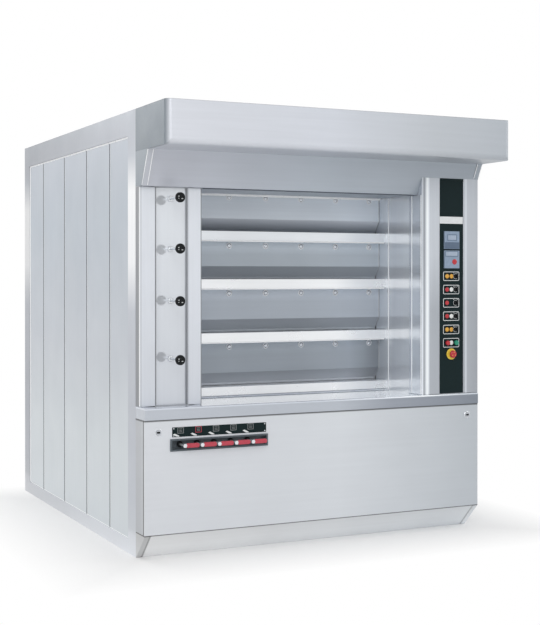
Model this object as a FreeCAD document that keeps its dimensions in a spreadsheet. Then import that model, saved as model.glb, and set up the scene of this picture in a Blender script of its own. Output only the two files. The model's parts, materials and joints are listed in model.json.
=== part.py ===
import FreeCAD, Part
import os
import re
import Sketcher

# Four-deck stone oven: X runs across the front, Y runs into the oven, Z is up.
# The origin is on the floor, in the middle of the footprint.

doc = FreeCAD.newDocument("deck_oven")
sheet = doc.addObject("Spreadsheet::Sheet", "dims")

# Driving dimensions, in millimetres and degrees
SIZES = {
    # overall
    "overall_width": 1934, "overall_depth": 2540, "cabinet_height": 2200, "sheet_wall": 3,
    # projections from the front plane of the corner posts
    "hood_projection": 420, "column_projection": 50, "counter_projection": 130,
    "control_projection": 127, "panel_setback": 4,
    # side walls
    "post_width": 114, "frame_depth": 40, "top_rail": 124, "bottom_rail": 70, "base_bar": 60,
    "board_wall": 4, "board_setback": 6, "board_seam": 1.5,
    "board_one": 0.1596, "board_two": 0.2114, "board_three": 0.2262, "board_four": 0.2373,
    # hood
    "hood_height": 210, "hood_radius": 30, "slope_height": 171, "slope_overhang": 30, "slope_run": 88,
    "slope_strip": 30, "strip_raise": 3, "slope_gap": 0.5,
    # columns
    "left_strip": 85, "damper_recess": 171, "left_inner_strip": 73,
    "right_inner_strip": 113, "control_recess": 152, "right_strip": 96, "damper_sink": 18, "panel_lap": 12,
    # decks
    "counter_height": 742, "counter_edge": 58, "counter_radius": 7, "counter_gap": 4,
    "sill_setback": 255, "sill_height": 48, "opening_two": 0.235, "opening_three": 0.269,
    "opening_four": 0.269, "jamb_wall": 20, "mouth_room": 15, "rear_wool": 170, "hearth_drop": 2,
    "stone_wall": 20, "stone_joint": 1,
    # doors
    "door_setback": 319, "door_wall": 3, "door_side_gap": 4, "door_top_gap": 4,
    "bend_height": 70, "lip_gap": 10, "lip_angle": 35,
    "pivot_bar": 16, "bar_end_gap": 2, "pin_radius": 6, "pin_clearance": 0.05, "pin_reach": 14,
    "top_pivot_drop": 16, "pivot_drop": 27,
    "screw_left": 96, "screw_right": 68, "screw_head": 12, "screw_dome": 6, "screw_bevel": 5,
    "screw_neck": 8, "screw_slack": 0.2,
    # dampers
    "rod_radius": 6, "rod_slack": 0.3, "damper_drop": 57, "damper_reach": 125,
    "damper_travel": 100, "knob_radius": 25, "knob_length": 22, "knob_taper": 7, "knob_edge": 3,
    "knob_bore": 10,
    "bush_size": 26, "bush_length": 10, "gate_length": 100, "gate_height": 70, "gate_wall": 3,
    "gate_gap": 1, "gate_start": 8, "arm_wall": 6, "arm_height": 12,
    "duct_width": 229, "duct_length": 230, "port_length": 80, "port_height": 50, "rod_hole_slack": 0.3,
    # control panel
    "controller_size": 96, "controller_raise": 8, "controller_body": 88, "controller_depth": 50,
    "cutout_slack": 0.5, "controller_pitch": 104, "controller_share": 0.287,
    "module_drop": 91, "lamp_spacing": 28, "lamp_radius": 13, "lamp_raise": 7,
    "lamp_bevel": 3, "display_lamp_side": 16, "display_lamp_drop": 13,
    "selector_radius": 13, "selector_length": 14, "selector_bar": 5, "selector_raise": 6,
    "selector_edge": 1,
    "shaft_radius": 4, "shaft_reach": 12, "shaft_clearance": 0.05, "button_radius": 13,
    "button_raise": 12, "button_gap": 5,
    "ring_radius": 30, "ring_wall": 5, "ring_drop": 61, "ring_share": 0.1849,
    "mushroom_radius": 20, "mushroom_length": 14, "mushroom_bevel": 5, "mushroom_gap": 10,
    # service panel, toe kick and locks
    "toe_height": 128, "toe_strip": 28, "lock_inset": 70, "lock_drop": 60, "lock_radius": 14,
    "lock_raise": 6, "lock_shaft": 9, "lock_clearance": 0.05, "cam_length": 36, "cam_width": 16,
    "slot_width": 3, "slot_depth": 2,
    # valves
    "tray_left": 132, "tray_width": 524, "tray_drop": 96, "tray_height": 60, "tray_wall": 4,
    "tray_raise": 6, "tray_depth": 30, "valve_margin": 60, "valve_pitch": 91, "valve_body": 18,
    "valve_length": 50, "pipe_size": 24, "stem_radius": 6, "stem_clearance": 0.05,
    "stem_bore": 25, "stem_hole_slack": 1, "lever_stand": 46, "lever_length": 78, "lever_width": 18,
    "lever_wall": 6, "nut_radius": 11, "nut_length": 6,
    # services on the hidden sides
    "channel_height": 20, "roof_wall": 4, "rear_wall": 4, "rear_setback": 30,
    "flue_radius": 90, "vapour_radius": 75, "collar_height": 80, "flue_back": 300, "vapour_front": 260,
    "burner_radius": 70, "burner_height": 420,
    "inlet_radius": 13, "inlet_bore": 9, "inlet_length": 26, "inlet_side": 600, "inlet_height": 300,
    "gland_radius": 20, "gland_bore": 12,
}

# Places worked out from the driving dimensions
PLACES = {
    "half_width": "overall_width / 2",
    "frame_inner": "half_width - frame_depth",
    "hood_front": "-overall_depth / 2",
    "post_front": "hood_front + hood_projection",
    "rear_face": "overall_depth / 2",
    "rear_skin": "rear_face - rear_setback",
    "rear_inner": "rear_skin - rear_wall",
    "roof_under": "cabinet_height - roof_wall",
    "hood_bottom": "cabinet_height - hood_height",
    "column_front": "post_front - column_projection",
    "counter_front": "post_front - counter_projection",
    "counter_under": "counter_height - counter_edge",
    "control_front": "post_front - control_projection",
    "panel_front": "counter_front + panel_setback",
    "damper_left": "-half_width + left_strip",
    "damper_right": "damper_left + damper_recess",
    "damper_middle": "(damper_left + damper_right) / 2",
    "damper_face": "column_front + damper_sink",
    "left_wall": "damper_right + left_inner_strip",
    "control_right": "half_width - right_strip",
    "control_left": "control_right - control_recess",
    "right_wall": "control_left - right_inner_strip",
    "control_face": "control_front + sheet_wall",
    "item_middle": "(control_left + control_right) / 2",
    "sill_front": "post_front + sill_setback",
    "door_front": "post_front + door_setback",
    "door_back": "door_front + door_wall",
    "pivot_depth": "door_back + pivot_bar / 2",
    "chamber_front": "door_back + pivot_bar + mouth_room",
    "chamber_rear": "rear_inner - rear_wool - sheet_wall",
    "chamber_length": "chamber_rear - chamber_front",
    "sill_bottom_4": "counter_height + counter_gap",
    "sill_top_4": "sill_bottom_4 + sill_height",
    "mouth_top_1": "hood_bottom - slope_height",
    "deck_room": "mouth_top_1 - sill_bottom_4 - 4 * sill_height",
    "mouth_top_4": "sill_top_4 + opening_four * deck_room",
    "sill_bottom_3": "mouth_top_4",
    "sill_top_3": "sill_bottom_3 + sill_height",
    "mouth_top_3": "sill_top_3 + opening_three * deck_room",
    "sill_bottom_2": "mouth_top_3",
    "sill_top_2": "sill_bottom_2 + sill_height",
    "mouth_top_2": "sill_top_2 + opening_two * deck_room",
    "sill_bottom_1": "mouth_top_2",
    "sill_top_1": "sill_bottom_1 + sill_height",
    "pivot_1": "mouth_top_1 - top_pivot_drop",
    "pivot_2": "mouth_top_2 - pivot_drop",
    "pivot_3": "mouth_top_3 - pivot_drop",
    "pivot_4": "mouth_top_4 - pivot_drop",
    "slope_foot": "column_front - slope_overhang",
    "slope_head": "slope_foot - slope_run",
    "slope_rise": "slope_height / slope_run",
    "lip_drop": "bend_height - lip_gap",
    "lip_back": "lip_drop * tan(lip_angle * 1 deg)",
    "duct_right": "left_wall - sheet_wall",
    "duct_left": "duct_right - duct_width",
    "duct_rear": "chamber_front + duct_length",
    "gate_front": "chamber_front + sheet_wall + gate_start",
    "knob_middle": "damper_face - damper_reach",
    "channel_base": "sill_top_4 - hearth_drop - stone_wall - sheet_wall - channel_height",
    "channel_roof": "mouth_top_1 + sheet_wall + channel_height",
    "tray_x": "-half_width + tray_left",
    "tray_top": "counter_under - tray_drop",
    "tray_bottom": "tray_top - tray_height",
    "tray_face": "panel_front + tray_depth",
    "valve_level": "(tray_top + tray_bottom) / 2",
    "lever_face": "panel_front - lever_stand",
    "lock_x": "half_width - lock_inset",
    "lock_level": "counter_under - lock_drop",
    "control_top": "mouth_top_1 + (slope_foot - control_front) * slope_rise",
    "control_room": "control_top - counter_height",
    "controller_level": "control_top - controller_share * control_room",
    "ring_level": "counter_height + ring_share * control_room",
    "module_level": "controller_level - controller_pitch - module_drop",
    "last_module": "ring_level + ring_drop",
    "module_step": "(module_level - last_module) / 5",
    "screw_first": "left_wall + screw_left",
    "screw_last": "right_wall - screw_right",
}
DECKS = ("1", "2", "3", "4")
SCREWS = 6
STONES_ACROSS = 3
STONES_ALONG = 3
VALVES = ("1", "2", "3", "4", "5")
SELECTORS = ("1", "2", "3", "4", "5")
SIDES = 12
TOUCH = 1e-6


def fill_sheet():
    """Write each driving dimension to a row of the sheet, with its name as the alias."""
    for row, (alias, value) in enumerate(SIZES.items(), 1):
        sheet.set(f"A{row}", alias)
        sheet.set(f"B{row}", str(value))
        sheet.setAlias(f"B{row}", alias)
    doc.recompute()


def formula(text):
    """Replace place names by their formulas and size names by sheet cells."""
    def swap(match):
        word = match.group()
        if word in PLACES:
            return f"({formula(PLACES[word])})"
        return f"dims.{word}" if word in SIZES else word
    return re.sub(r"[a-z][a-z_0-9]*", swap, str(text))


def number(text):
    """Value of a formula now, as a plain number."""
    value = sheet.evalExpression(formula(text))
    return float(getattr(value, "Value", value))


def bind(thing, path, text):
    """Tie a property of an object to a formula over the sheet."""
    thing.setExpression(path, formula(text))


def locate(thing, point):
    """Tie an object's place to three formulas."""
    for axis, text in zip("xyz", point):
        bind(thing, f"Placement.Base.{axis}", text)


def box(name, across, along, upright):
    """Block between the low and high formulas of each axis."""
    block = doc.addObject("Part::Box", name)
    for side, (low, high) in zip(("Length", "Width", "Height"), (across, along, upright)):
        bind(block, side, f"({high}) - ({low})")
    locate(block, (across[0], along[0], upright[0]))
    return block


TURNS = {
    "x": FreeCAD.Rotation(FreeCAD.Vector(0, 1, 0), 90),
    "y": FreeCAD.Rotation(FreeCAD.Vector(1, 0, 0), -90),
    "z": FreeCAD.Rotation(),
}


def rod(name, axis, start, radius, length):
    """Cylinder that starts at a point and runs along one axis."""
    bar = doc.addObject("Part::Cylinder", name)
    bar.Placement = FreeCAD.Placement(FreeCAD.Vector(), TURNS[axis])
    bind(bar, "Radius", radius)
    bind(bar, "Height", length)
    locate(bar, start)
    return bar


def square_bar(name, middle, half, near, far):
    """Square bar along Y, centred on an X and Z place."""
    across, up = middle
    return box(name, (f"{across} - {half}", f"{across} + {half}"), (near, far),
               (f"{up} - {half}", f"{up} + {half}"))


def fuse(name, pieces):
    """One solid from several."""
    joined = doc.addObject("Part::MultiFuse", name)
    joined.Shapes = pieces
    joined.Refine = True
    return joined


def cut(name, base, tools):
    """A solid with tools taken away."""
    tool = tools[0]
    if len(tools) > 1:
        tool = doc.addObject("Part::Compound", name + "_tools")
        tool.Links = tools
    piece = doc.addObject("Part::Cut", name)
    piece.Base = base
    piece.Tool = tool
    piece.Refine = True
    return piece


def group(name, pieces):
    """Several separate solids of one kind."""
    several = doc.addObject("Part::Compound", name)
    several.Links = pieces
    return several


def plane_of(body, role):
    """One of a body's own origin planes."""
    return next(item for item in body.Origin.OriginFeatures if item.Role == role)


def outline(body, name, role, points):
    """Closed sketch whose corners are tied to formulas."""
    sketch = body.newObject("Sketcher::SketchObject", name)
    sketch.AttachmentSupport = (plane_of(body, role), [""])
    sketch.MapMode = "FlatFace"
    corners = [FreeCAD.Vector(number(first), number(second), 0) for first, second in points]
    count = len(corners)
    for index in range(count):
        sketch.addGeometry(Part.LineSegment(corners[index], corners[(index + 1) % count]))
    for index in range(count):
        sketch.addConstraint(Sketcher.Constraint("Coincident", index, 2, (index + 1) % count, 1))
    for index, (first, second) in enumerate(points):
        for kind, text in (("DistanceX", first), ("DistanceY", second)):
            place = sketch.addConstraint(Sketcher.Constraint(kind, -1, 1, index, 1, number(text)))
            bind(sketch, f"Constraints[{place}]", text)
    return sketch


def section(name, points, low, high):
    """Bar along X whose section in the YZ plane is given by its corners."""
    body = doc.addObject("PartDesign::Body", name)
    sketch = outline(body, name + "_outline", "YZ_Plane", points)
    pad = body.newObject("PartDesign::Pad", name + "_pad")
    pad.Profile = sketch
    bind(pad, "Length", f"({high}) - ({low})")
    bind(body, "Placement.Base.x", low)
    doc.recompute()
    return body


def prism(name, axis, start, radius, length):
    """Small round piece, drawn with a set number of sides, that starts at a point and runs along one axis."""
    bar = doc.addObject("Part::Prism", name)
    bar.Polygon = SIDES
    bar.Placement = FreeCAD.Placement(FreeCAD.Vector(), TURNS[axis])
    bind(bar, "Circumradius", radius)
    bind(bar, "Height", length)
    locate(bar, start)
    return bar


def bevelled(name, start, radius, length, bevels):
    """Small round piece along Y, with a bevel round its front end and perhaps one round its back end."""
    body = doc.addObject("PartDesign::Body", name)
    body.Placement = FreeCAD.Placement(FreeCAD.Vector(), TURNS["y"])
    bar = body.newObject("PartDesign::AdditivePrism", name + "_bar")
    bar.Polygon = SIDES
    bind(bar, "Circumradius", radius)
    bind(bar, "Height", length)
    locate(body, start)
    doc.recompute()
    for level, bevel in zip(("0", length), bevels):
        height = number(level)

        def rim(ends):
            return all(abs(point.z - height) < TOUCH for point in ends)

        dress_edges(body, rim, bevel, "Chamfer", "Size")
    return body


def dress_edges(body, chosen, size, kind, measure):
    """Round or bevel the edges of a body whose two ends pass a test."""
    base = body.Tip
    names = []
    for index, edge in enumerate(base.Shape.Edges, 1):
        if chosen([vertex.Point for vertex in edge.Vertexes]):
            names.append(f"Edge{index}")
    blend = body.newObject(f"PartDesign::{kind}", f"{base.Name}_{kind.lower()}")
    blend.Base = (base, names)
    bind(blend, measure, size)
    doc.recompute()


def slope_level(depth):
    """Height of the hood slope's outer face at a depth."""
    return f"(mouth_top_1 + (slope_foot - ({depth})) * slope_rise)"


# Cabinet


def make_base_frame():
    """Bars on the floor between the two side frames."""
    across = ("-frame_inner", "frame_inner")
    upright = ("0", "bottom_rail")
    middle = "(post_front + rear_face) / 2"
    rows = (("post_front", "post_front + base_bar"), (f"{middle} - base_bar / 2", f"{middle} + base_bar / 2"),
            ("rear_face - base_bar", "rear_face"))
    bars = [box(f"base_bar_{index}", across, row, upright) for index, row in enumerate(rows, 1)]
    return group("base_frame", bars)


def make_side_frames():
    """Two posts and two rails on each side of the cabinet, folded channels that open inward."""
    members = []
    between = ("post_front + post_width", "rear_face - post_width")
    full = ("0", "cabinet_height")
    places = {
        "front_post": (("post_front", "post_front + post_width"), full),
        "rear_post": (("rear_face - post_width", "rear_face"), full),
        "top_rail": (between, ("cabinet_height - top_rail", "cabinet_height")),
        "bottom_rail": (between, ("0", "bottom_rail")),
    }
    web = "half_width - sheet_wall"
    for side, across, room in (("left", ("-half_width", "-frame_inner"), (f"-({web})", "-frame_inner")),
                               ("right", ("frame_inner", "half_width"), ("frame_inner", web))):
        for name, (along, upright) in places.items():
            bar = box(f"{side}_{name}_bar", across, along, upright)
            hollow = box(f"{side}_{name}_hollow", room, inset(along), inset(upright))
            members.append(cut(f"{side}_{name}", bar, [hollow]))
    return group("side_frames", members)


def inset(span):
    """A span drawn in by the sheet's thickness at both ends."""
    return f"{span[0]} + sheet_wall", f"{span[1]} - sheet_wall"


def make_side_boards():
    """Upright sheet boards side by side inside each frame."""
    boards = []
    outer = "half_width - board_setback"
    inner = f"{outer} - board_wall"
    room = "(rear_face - post_front - 2 * post_width)"
    for side, across in (("left", (f"-({outer})", f"-({inner})")), ("right", (inner, outer))):
        start = "post_front + post_width"
        for index, share in enumerate(("board_one", "board_two", "board_three", "board_four"), 1):
            stop = f"{start} + {share} * {room}"
            boards.append(box(f"{side}_board_{index}", across, (start, f"{stop} - board_seam"),
                              ("bottom_rail", "cabinet_height - top_rail")))
            start = stop
        boards.append(box(f"{side}_board_last", across, (start, "rear_face - post_width"),
                          ("bottom_rail", "cabinet_height - top_rail")))
    return group("side_boards", boards)


def make_rear_panel():
    """Back sheet with the burner opening, the water inlet and the cable gland."""
    sheet_plate = box("rear_sheet", ("-frame_inner", "frame_inner"), ("rear_inner", "rear_skin"),
                      ("bottom_rail", "roof_under"))
    front = "rear_inner"
    through = "rear_wall + inlet_length"
    holes = [
        rod("burner_opening", "y", ("0", front, "burner_height"), "burner_radius", "rear_wall"),
        rod("inlet_hole", "y", ("inlet_side", front, "inlet_height"), "inlet_bore", through),
        rod("gland_hole", "y", ("-inlet_side", front, "inlet_height"), "gland_bore", through),
    ]
    stubs = [
        rod("inlet_stub", "y", ("inlet_side", "rear_skin", "inlet_height"), "inlet_radius", "inlet_length"),
        rod("gland_stub", "y", ("-inlet_side", "rear_skin", "inlet_height"), "gland_radius", "inlet_length"),
    ]
    return cut("rear_panel", fuse("rear_body", [sheet_plate] + stubs), holes)


def collar(name, depth, radius):
    """Short open pipe that stands on the roof over a hole."""
    place = ("0", depth, "cabinet_height")
    hole = ("0", depth, "roof_under")
    return rod(name, "z", place, radius, "collar_height"), rod(
        name + "_bore", "z", hole, f"{radius} - sheet_wall", "collar_height + roof_wall")


def make_roof_panel():
    """Top sheet with the flue collar and the vapour collar."""
    plate = box("roof_sheet", ("-frame_inner", "frame_inner"), ("post_front", "rear_face"),
                ("roof_under", "cabinet_height"))
    flue, flue_bore = collar("flue_collar", "rear_face - flue_back", "flue_radius")
    vapour, vapour_bore = collar("vapour_collar", "post_front + vapour_front", "vapour_radius")
    return cut("roof_panel", fuse("roof_body", [plate, flue, vapour]), [flue_bore, vapour_bore])


# Hood


def make_hood_canopy():
    """Sheet box over the front, rounded along its lower edge and front corners, open at the back."""
    shell = section("hood_shell", [("hood_front", "hood_bottom"), ("post_front", "hood_bottom"),
                                   ("post_front", "cabinet_height"), ("hood_front", "cabinet_height")],
                    "-half_width", "half_width")
    front = number("hood_front")
    top = number("cabinet_height")

    def lower_or_upright(ends):
        at_front = all(abs(point.y - front) < TOUCH for point in ends)
        return at_front and not all(abs(point.z - top) < TOUCH for point in ends)

    dress_edges(shell, lower_or_upright, "hood_radius", "Fillet", "Radius")
    inset = "hood_radius / 2"
    hollow = box("hood_hollow", (f"-half_width + {inset}", f"half_width - {inset}"),
                 (f"hood_front + {inset}", "post_front"),
                 (f"hood_bottom + {inset}", "cabinet_height - sheet_wall"))
    mouth = box("hood_mouth", (f"-half_width + {inset}", f"half_width - {inset}"),
                ("slope_head + 2 * sheet_wall", "post_front"), ("hood_bottom", f"hood_bottom + {inset}"))
    return cut("hood_canopy", shell, [hollow, mouth])


def make_hood_slope():
    """Sloped sheet under the canopy, with a strip and a cheek at each end and the deck mouth's ceiling."""
    slope = section("slope_sheet", [("slope_foot", "mouth_top_1"), ("slope_head", "hood_bottom"),
                                    ("slope_head + sheet_wall", "hood_bottom"),
                                    ("slope_foot + sheet_wall", "mouth_top_1 + sheet_wall"),
                                    ("post_front", "mouth_top_1 + sheet_wall"),
                                    ("post_front", "mouth_top_1")],
                    "-half_width", "half_width")

    def strip(name, start, low, high):
        return section(name, [(start, slope_level(start)), (f"{start} - strip_raise", slope_level(start)),
                              ("slope_head - strip_raise", "hood_bottom"), ("slope_head", "hood_bottom")],
                       low, high)

    def cheek(name, low, high):
        return section(name, [("slope_foot + sheet_wall", "mouth_top_1"),
                              ("slope_head + sheet_wall", "hood_bottom"),
                              ("post_front", "hood_bottom"), ("post_front", "mouth_top_1")], low, high)

    ceiling = box("mouth_ceiling", ("left_wall", "right_wall"), ("post_front", "door_front - door_top_gap"),
                  ("mouth_top_1", "mouth_top_1 + sheet_wall"))
    return fuse("hood_slope", [
        slope, ceiling, strip("slope_strip_left", "slope_foot", "-half_width", "-half_width + slope_strip"),
        strip("slope_strip_right", "control_front - strip_raise", "half_width - slope_strip", "half_width"),
        cheek("slope_cheek_left", "-half_width", "-half_width + sheet_wall"),
        cheek("slope_cheek_right", "half_width - sheet_wall", "half_width"),
    ])


# Columns beside the deck mouth


def make_left_column():
    """Folded front sheet with a tall window for the damper panel."""
    outer = box("left_column_outer", ("-half_width", "left_wall"), ("column_front", "post_front"),
                ("counter_height", "mouth_top_1"))
    hollow = box("left_column_hollow", ("-half_width + sheet_wall", "left_wall - sheet_wall"),
                 ("column_front + sheet_wall", "post_front"),
                 ("counter_height + sheet_wall", "mouth_top_1 - sheet_wall"))
    window = box("left_column_window", ("damper_left", "damper_right"),
                 ("column_front", "column_front + sheet_wall"),
                 ("counter_height + sheet_wall", "mouth_top_1 - sheet_wall"))
    return cut("left_column", outer, [hollow, window])


def pan_section(front, back, trim):
    """Side view of a tall box whose top follows the hood slope."""
    return [(front, f"counter_height + {trim}"), (back, f"counter_height + {trim}"),
            (back, f"mouth_top_1 - slope_gap - {trim}"),
            ("slope_foot", f"mouth_top_1 - slope_gap - {trim}"),
            (front, slope_level(front) + f" - slope_gap - {trim}")]


def make_right_column():
    """Control box that stands further out, with a tall window for the control panel."""
    outer = section("right_column_outer", pan_section("control_front", "post_front", "0"),
                    "right_wall", "half_width")
    hollow = section("right_column_hollow", pan_section("control_face", "post_front", "sheet_wall"),
                     "right_wall + sheet_wall", "half_width - sheet_wall")
    window = box("right_column_window", ("control_left", "control_right"), ("control_front", "control_face"),
                 ("counter_height + sheet_wall", slope_level("control_face") + " - 2 * sheet_wall"))
    return cut("right_column", outer, [hollow, window])


def make_damper_panel():
    """Recessed pan that carries the damper bushes in square holes."""
    upright = ("counter_height + sheet_wall", "mouth_top_1 - sheet_wall")
    outer = box("damper_pan", ("damper_left", "damper_right"),
                ("column_front", "damper_face + sheet_wall"), upright)
    hollow = box("damper_pan_hollow", ("damper_left + sheet_wall", "damper_right - sheet_wall"),
                 ("column_front", "damper_face"), upright)
    holes = [square_bar(f"bush_hole_{deck}", ("damper_middle", damper_level(deck)), "bush_size / 2",
                        "damper_face", "damper_face + sheet_wall") for deck in DECKS]
    return cut("damper_panel", outer, [hollow] + holes)


def damper_level(deck):
    """Height of a deck's damper rod."""
    return f"mouth_top_{deck} - damper_drop"


def make_damper_bushes():
    """Square guide bush of each damper rod, with its front end ahead of the panel."""
    bushes = []
    start = "damper_face - bush_length / 2"
    for deck in DECKS:
        level = damper_level(deck)
        body = square_bar(f"bush_body_{deck}", ("damper_middle", level), "bush_size / 2", start,
                          f"{start} + bush_length + sheet_wall")
        bore = prism(f"bush_bore_{deck}", "y", ("damper_middle", start, level),
                     "rod_radius + rod_slack", "bush_length + sheet_wall")
        bushes.append(cut(f"bush_{deck}", body, [bore]))
    return group("damper_bushes", bushes)


# Dampers


def make_damper_rod(deck):
    """Pull rod with the arm and gate plate that slide over the vapour port."""
    level = damper_level(deck)
    start = "knob_middle - knob_length / 2 + knob_bore"
    bar = rod(f"damper_bar_{deck}", "y", ("damper_middle", start, level), "rod_radius",
              f"gate_front + arm_wall - ({start})")
    arm = box(f"damper_arm_{deck}", ("damper_middle", "duct_right - sheet_wall - gate_gap"),
              ("gate_front", "gate_front + arm_wall"),
              (f"{level} - arm_height / 2", f"{level} + arm_height / 2"))
    plate = box(f"damper_gate_{deck}",
                ("duct_right - sheet_wall - gate_gap - gate_wall", "duct_right - sheet_wall - gate_gap"),
                ("gate_front", "gate_front + gate_length"),
                (f"{level} - gate_height / 2", f"{level} + gate_height / 2"))
    return fuse(f"damper_rod_{deck}", [bar, arm, plate])


def make_damper_knob(deck):
    """Round grip on the front end of a damper rod, narrower at its back and bevelled in front."""
    level = damper_level(deck)
    front = "knob_middle - knob_length / 2"
    grip = bevelled(f"knob_grip_{deck}", ("damper_middle", front, level), "knob_radius", "knob_length",
                    ("knob_edge", "knob_taper"))
    bore = prism(f"knob_bore_{deck}", "y", ("damper_middle", f"{front} + knob_bore", level),
                 "rod_radius + rod_slack", "knob_length - knob_bore")
    return cut(f"damper_knob_{deck}", grip, [bore])


def make_vapour_duct():
    """Upright duct beside the chambers, with a port and a rod hole for each deck."""
    upright = ("channel_base", "roof_under")
    outer = box("duct_outer", ("duct_left", "duct_right"), ("chamber_front", "duct_rear"), upright)
    hollow = box("duct_hollow", ("duct_left + sheet_wall", "duct_right - sheet_wall"),
                 ("chamber_front + sheet_wall", "duct_rear - sheet_wall"), upright)
    holes = []
    for deck in DECKS:
        level = damper_level(deck)
        holes.append(square_bar(f"duct_rod_hole_{deck}", ("damper_middle", level),
                                "(rod_radius + rod_hole_slack)",
                                "chamber_front", "chamber_front + sheet_wall"))
        holes.append(port(f"duct_port_{deck}", deck, ("duct_right - sheet_wall", "duct_right")))
    return cut("vapour_duct", outer, [hollow] + holes)


def port(name, deck, across):
    """Vapour port of a deck through the walls that lie between two X places."""
    level = damper_level(deck)
    start = "gate_front + damper_travel + gate_length / 2 - port_length / 2"
    return box(name, across, (start, f"{start} + port_length"),
               (f"{level} - port_height / 2", f"{level} + port_height / 2"))


# Decks


def make_mouth_jambs():
    """Side walls of the deck mouth, bored for the door pins."""
    jambs = []
    for side, across in (("left", ("left_wall - jamb_wall", "left_wall")),
                         ("right", ("right_wall", "right_wall + jamb_wall"))):
        wall = box(f"{side}_jamb_wall", across, ("post_front", "chamber_front"),
                   ("counter_height", "mouth_top_1"))
        bores = [rod(f"{side}_pin_bore_{deck}", "x", (across[0], "pivot_depth", f"pivot_{deck}"),
                     "pin_radius + pin_clearance", "jamb_wall") for deck in DECKS]
        jambs.append(cut(f"{side}_jamb", wall, bores))
    return group("mouth_jambs", jambs)


def make_deck_sills():
    """Folded sill in front of each hearth, open at the back."""
    sills = []
    for deck in DECKS:
        outer = box(f"sill_outer_{deck}", ("left_wall", "right_wall"), ("sill_front", "chamber_front"),
                    (f"sill_bottom_{deck}", f"sill_top_{deck}"))
        hollow = box(f"sill_hollow_{deck}", ("left_wall + sheet_wall", "right_wall - sheet_wall"),
                     ("sill_front + sheet_wall", "chamber_front"),
                     (f"sill_bottom_{deck} + sheet_wall", f"sill_top_{deck} - sheet_wall"))
        sills.append(cut(f"sill_{deck}", outer, [hollow]))
    return group("deck_sills", sills)


def floor_level(deck):
    """Upper face of a chamber's floor plate, under the stones."""
    return f"sill_top_{deck} - hearth_drop - stone_wall"


def make_baking_chambers():
    """Floor, roof, side and back plates of each chamber; the left plate has the vapour port."""
    plates = []
    outer = ("left_wall - sheet_wall", "right_wall + sheet_wall")
    length = ("chamber_front", "chamber_rear")
    for deck in DECKS:
        floor = floor_level(deck)
        roof = f"mouth_top_{deck}"
        left = box(f"chamber_left_sheet_{deck}", ("left_wall - sheet_wall", "left_wall"), length,
                   (floor, roof))
        opening = port(f"chamber_port_{deck}", deck, ("left_wall - sheet_wall", "left_wall"))
        plates += [
            box(f"chamber_floor_{deck}", outer, length, (f"{floor} - sheet_wall", floor)),
            box(f"chamber_roof_{deck}", outer, length, (roof, f"{roof} + sheet_wall")),
            cut(f"chamber_left_{deck}", left, [opening]),
            box(f"chamber_right_{deck}", ("right_wall", "right_wall + sheet_wall"), length, (floor, roof)),
            box(f"chamber_back_{deck}", outer, ("chamber_rear", "chamber_rear + sheet_wall"),
                (f"{floor} - sheet_wall", f"{roof} + sheet_wall")),
        ]
    return group("baking_chambers", plates)


def make_hearth_stones():
    """Rows of stone slabs on each chamber floor, with a thin joint between them."""
    stones = []
    width = f"((right_wall - left_wall) / {STONES_ACROSS})"
    length = f"(chamber_length / {STONES_ALONG})"
    for deck in DECKS:
        floor = floor_level(deck)
        for column in range(STONES_ACROSS):
            for row in range(STONES_ALONG):
                x_low = f"left_wall + {column} * {width} + stone_joint / 2"
                y_low = f"chamber_front + {row} * {length} + stone_joint / 2"
                stones.append(box(f"stone_{deck}_{column + 1}_{row + 1}",
                                  (x_low, f"{x_low} + {width} - stone_joint"),
                                  (y_low, f"{y_low} + {length} - stone_joint"),
                                  (floor, f"{floor} + stone_wall")))
    return group("hearth_stones", stones)


def make_heat_channels():
    """Flat hot-air ducts under, between and over the chambers, open at the back."""
    levels = [(f"mouth_top_{below} + sheet_wall", f"{floor_level(deck)} - sheet_wall")
              for deck, below in zip(DECKS, DECKS[1:])]
    levels.append(("channel_base", "channel_base + channel_height"))
    levels.append(("mouth_top_1 + sheet_wall", "channel_roof"))
    ducts = []
    for index, (low, high) in enumerate(levels, 1):
        outer = box(f"channel_outer_{index}", ("left_wall", "right_wall"), ("chamber_front", "chamber_rear"),
                    (low, high))
        hollow = box(f"channel_hollow_{index}", ("left_wall + sheet_wall", "right_wall - sheet_wall"),
                     ("chamber_front + sheet_wall", "chamber_rear"),
                     (f"{low} + sheet_wall", f"{high} - sheet_wall"))
        ducts.append(cut(f"channel_{index}", outer, [hollow]))
    return group("heat_channels", ducts)


def make_insulation():
    """Mineral wool blocks round the stack of chambers."""
    stack = ("left_wall - sheet_wall", "right_wall + sheet_wall")
    length = ("chamber_front", "chamber_rear + sheet_wall")
    upright = ("bottom_rail", "roof_under")
    blocks = [
        box("wool_under", stack, length, ("bottom_rail", "channel_base")),
        box("wool_over", stack, length, ("channel_roof", "roof_under")),
        box("wool_right", ("right_wall + sheet_wall", "frame_inner"), ("chamber_front", "rear_inner"),
            upright),
        box("wool_left", ("-frame_inner", "left_wall - sheet_wall"), ("duct_rear", "rear_inner"), upright),
        box("wool_back", stack, ("chamber_rear + sheet_wall", "rear_inner"), upright),
    ]
    return group("insulation", blocks)


# Doors


def screw_place(index):
    """X place of one of a door's screws."""
    return f"screw_first + {index} * (screw_last - screw_first) / {SCREWS - 1}"


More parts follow.
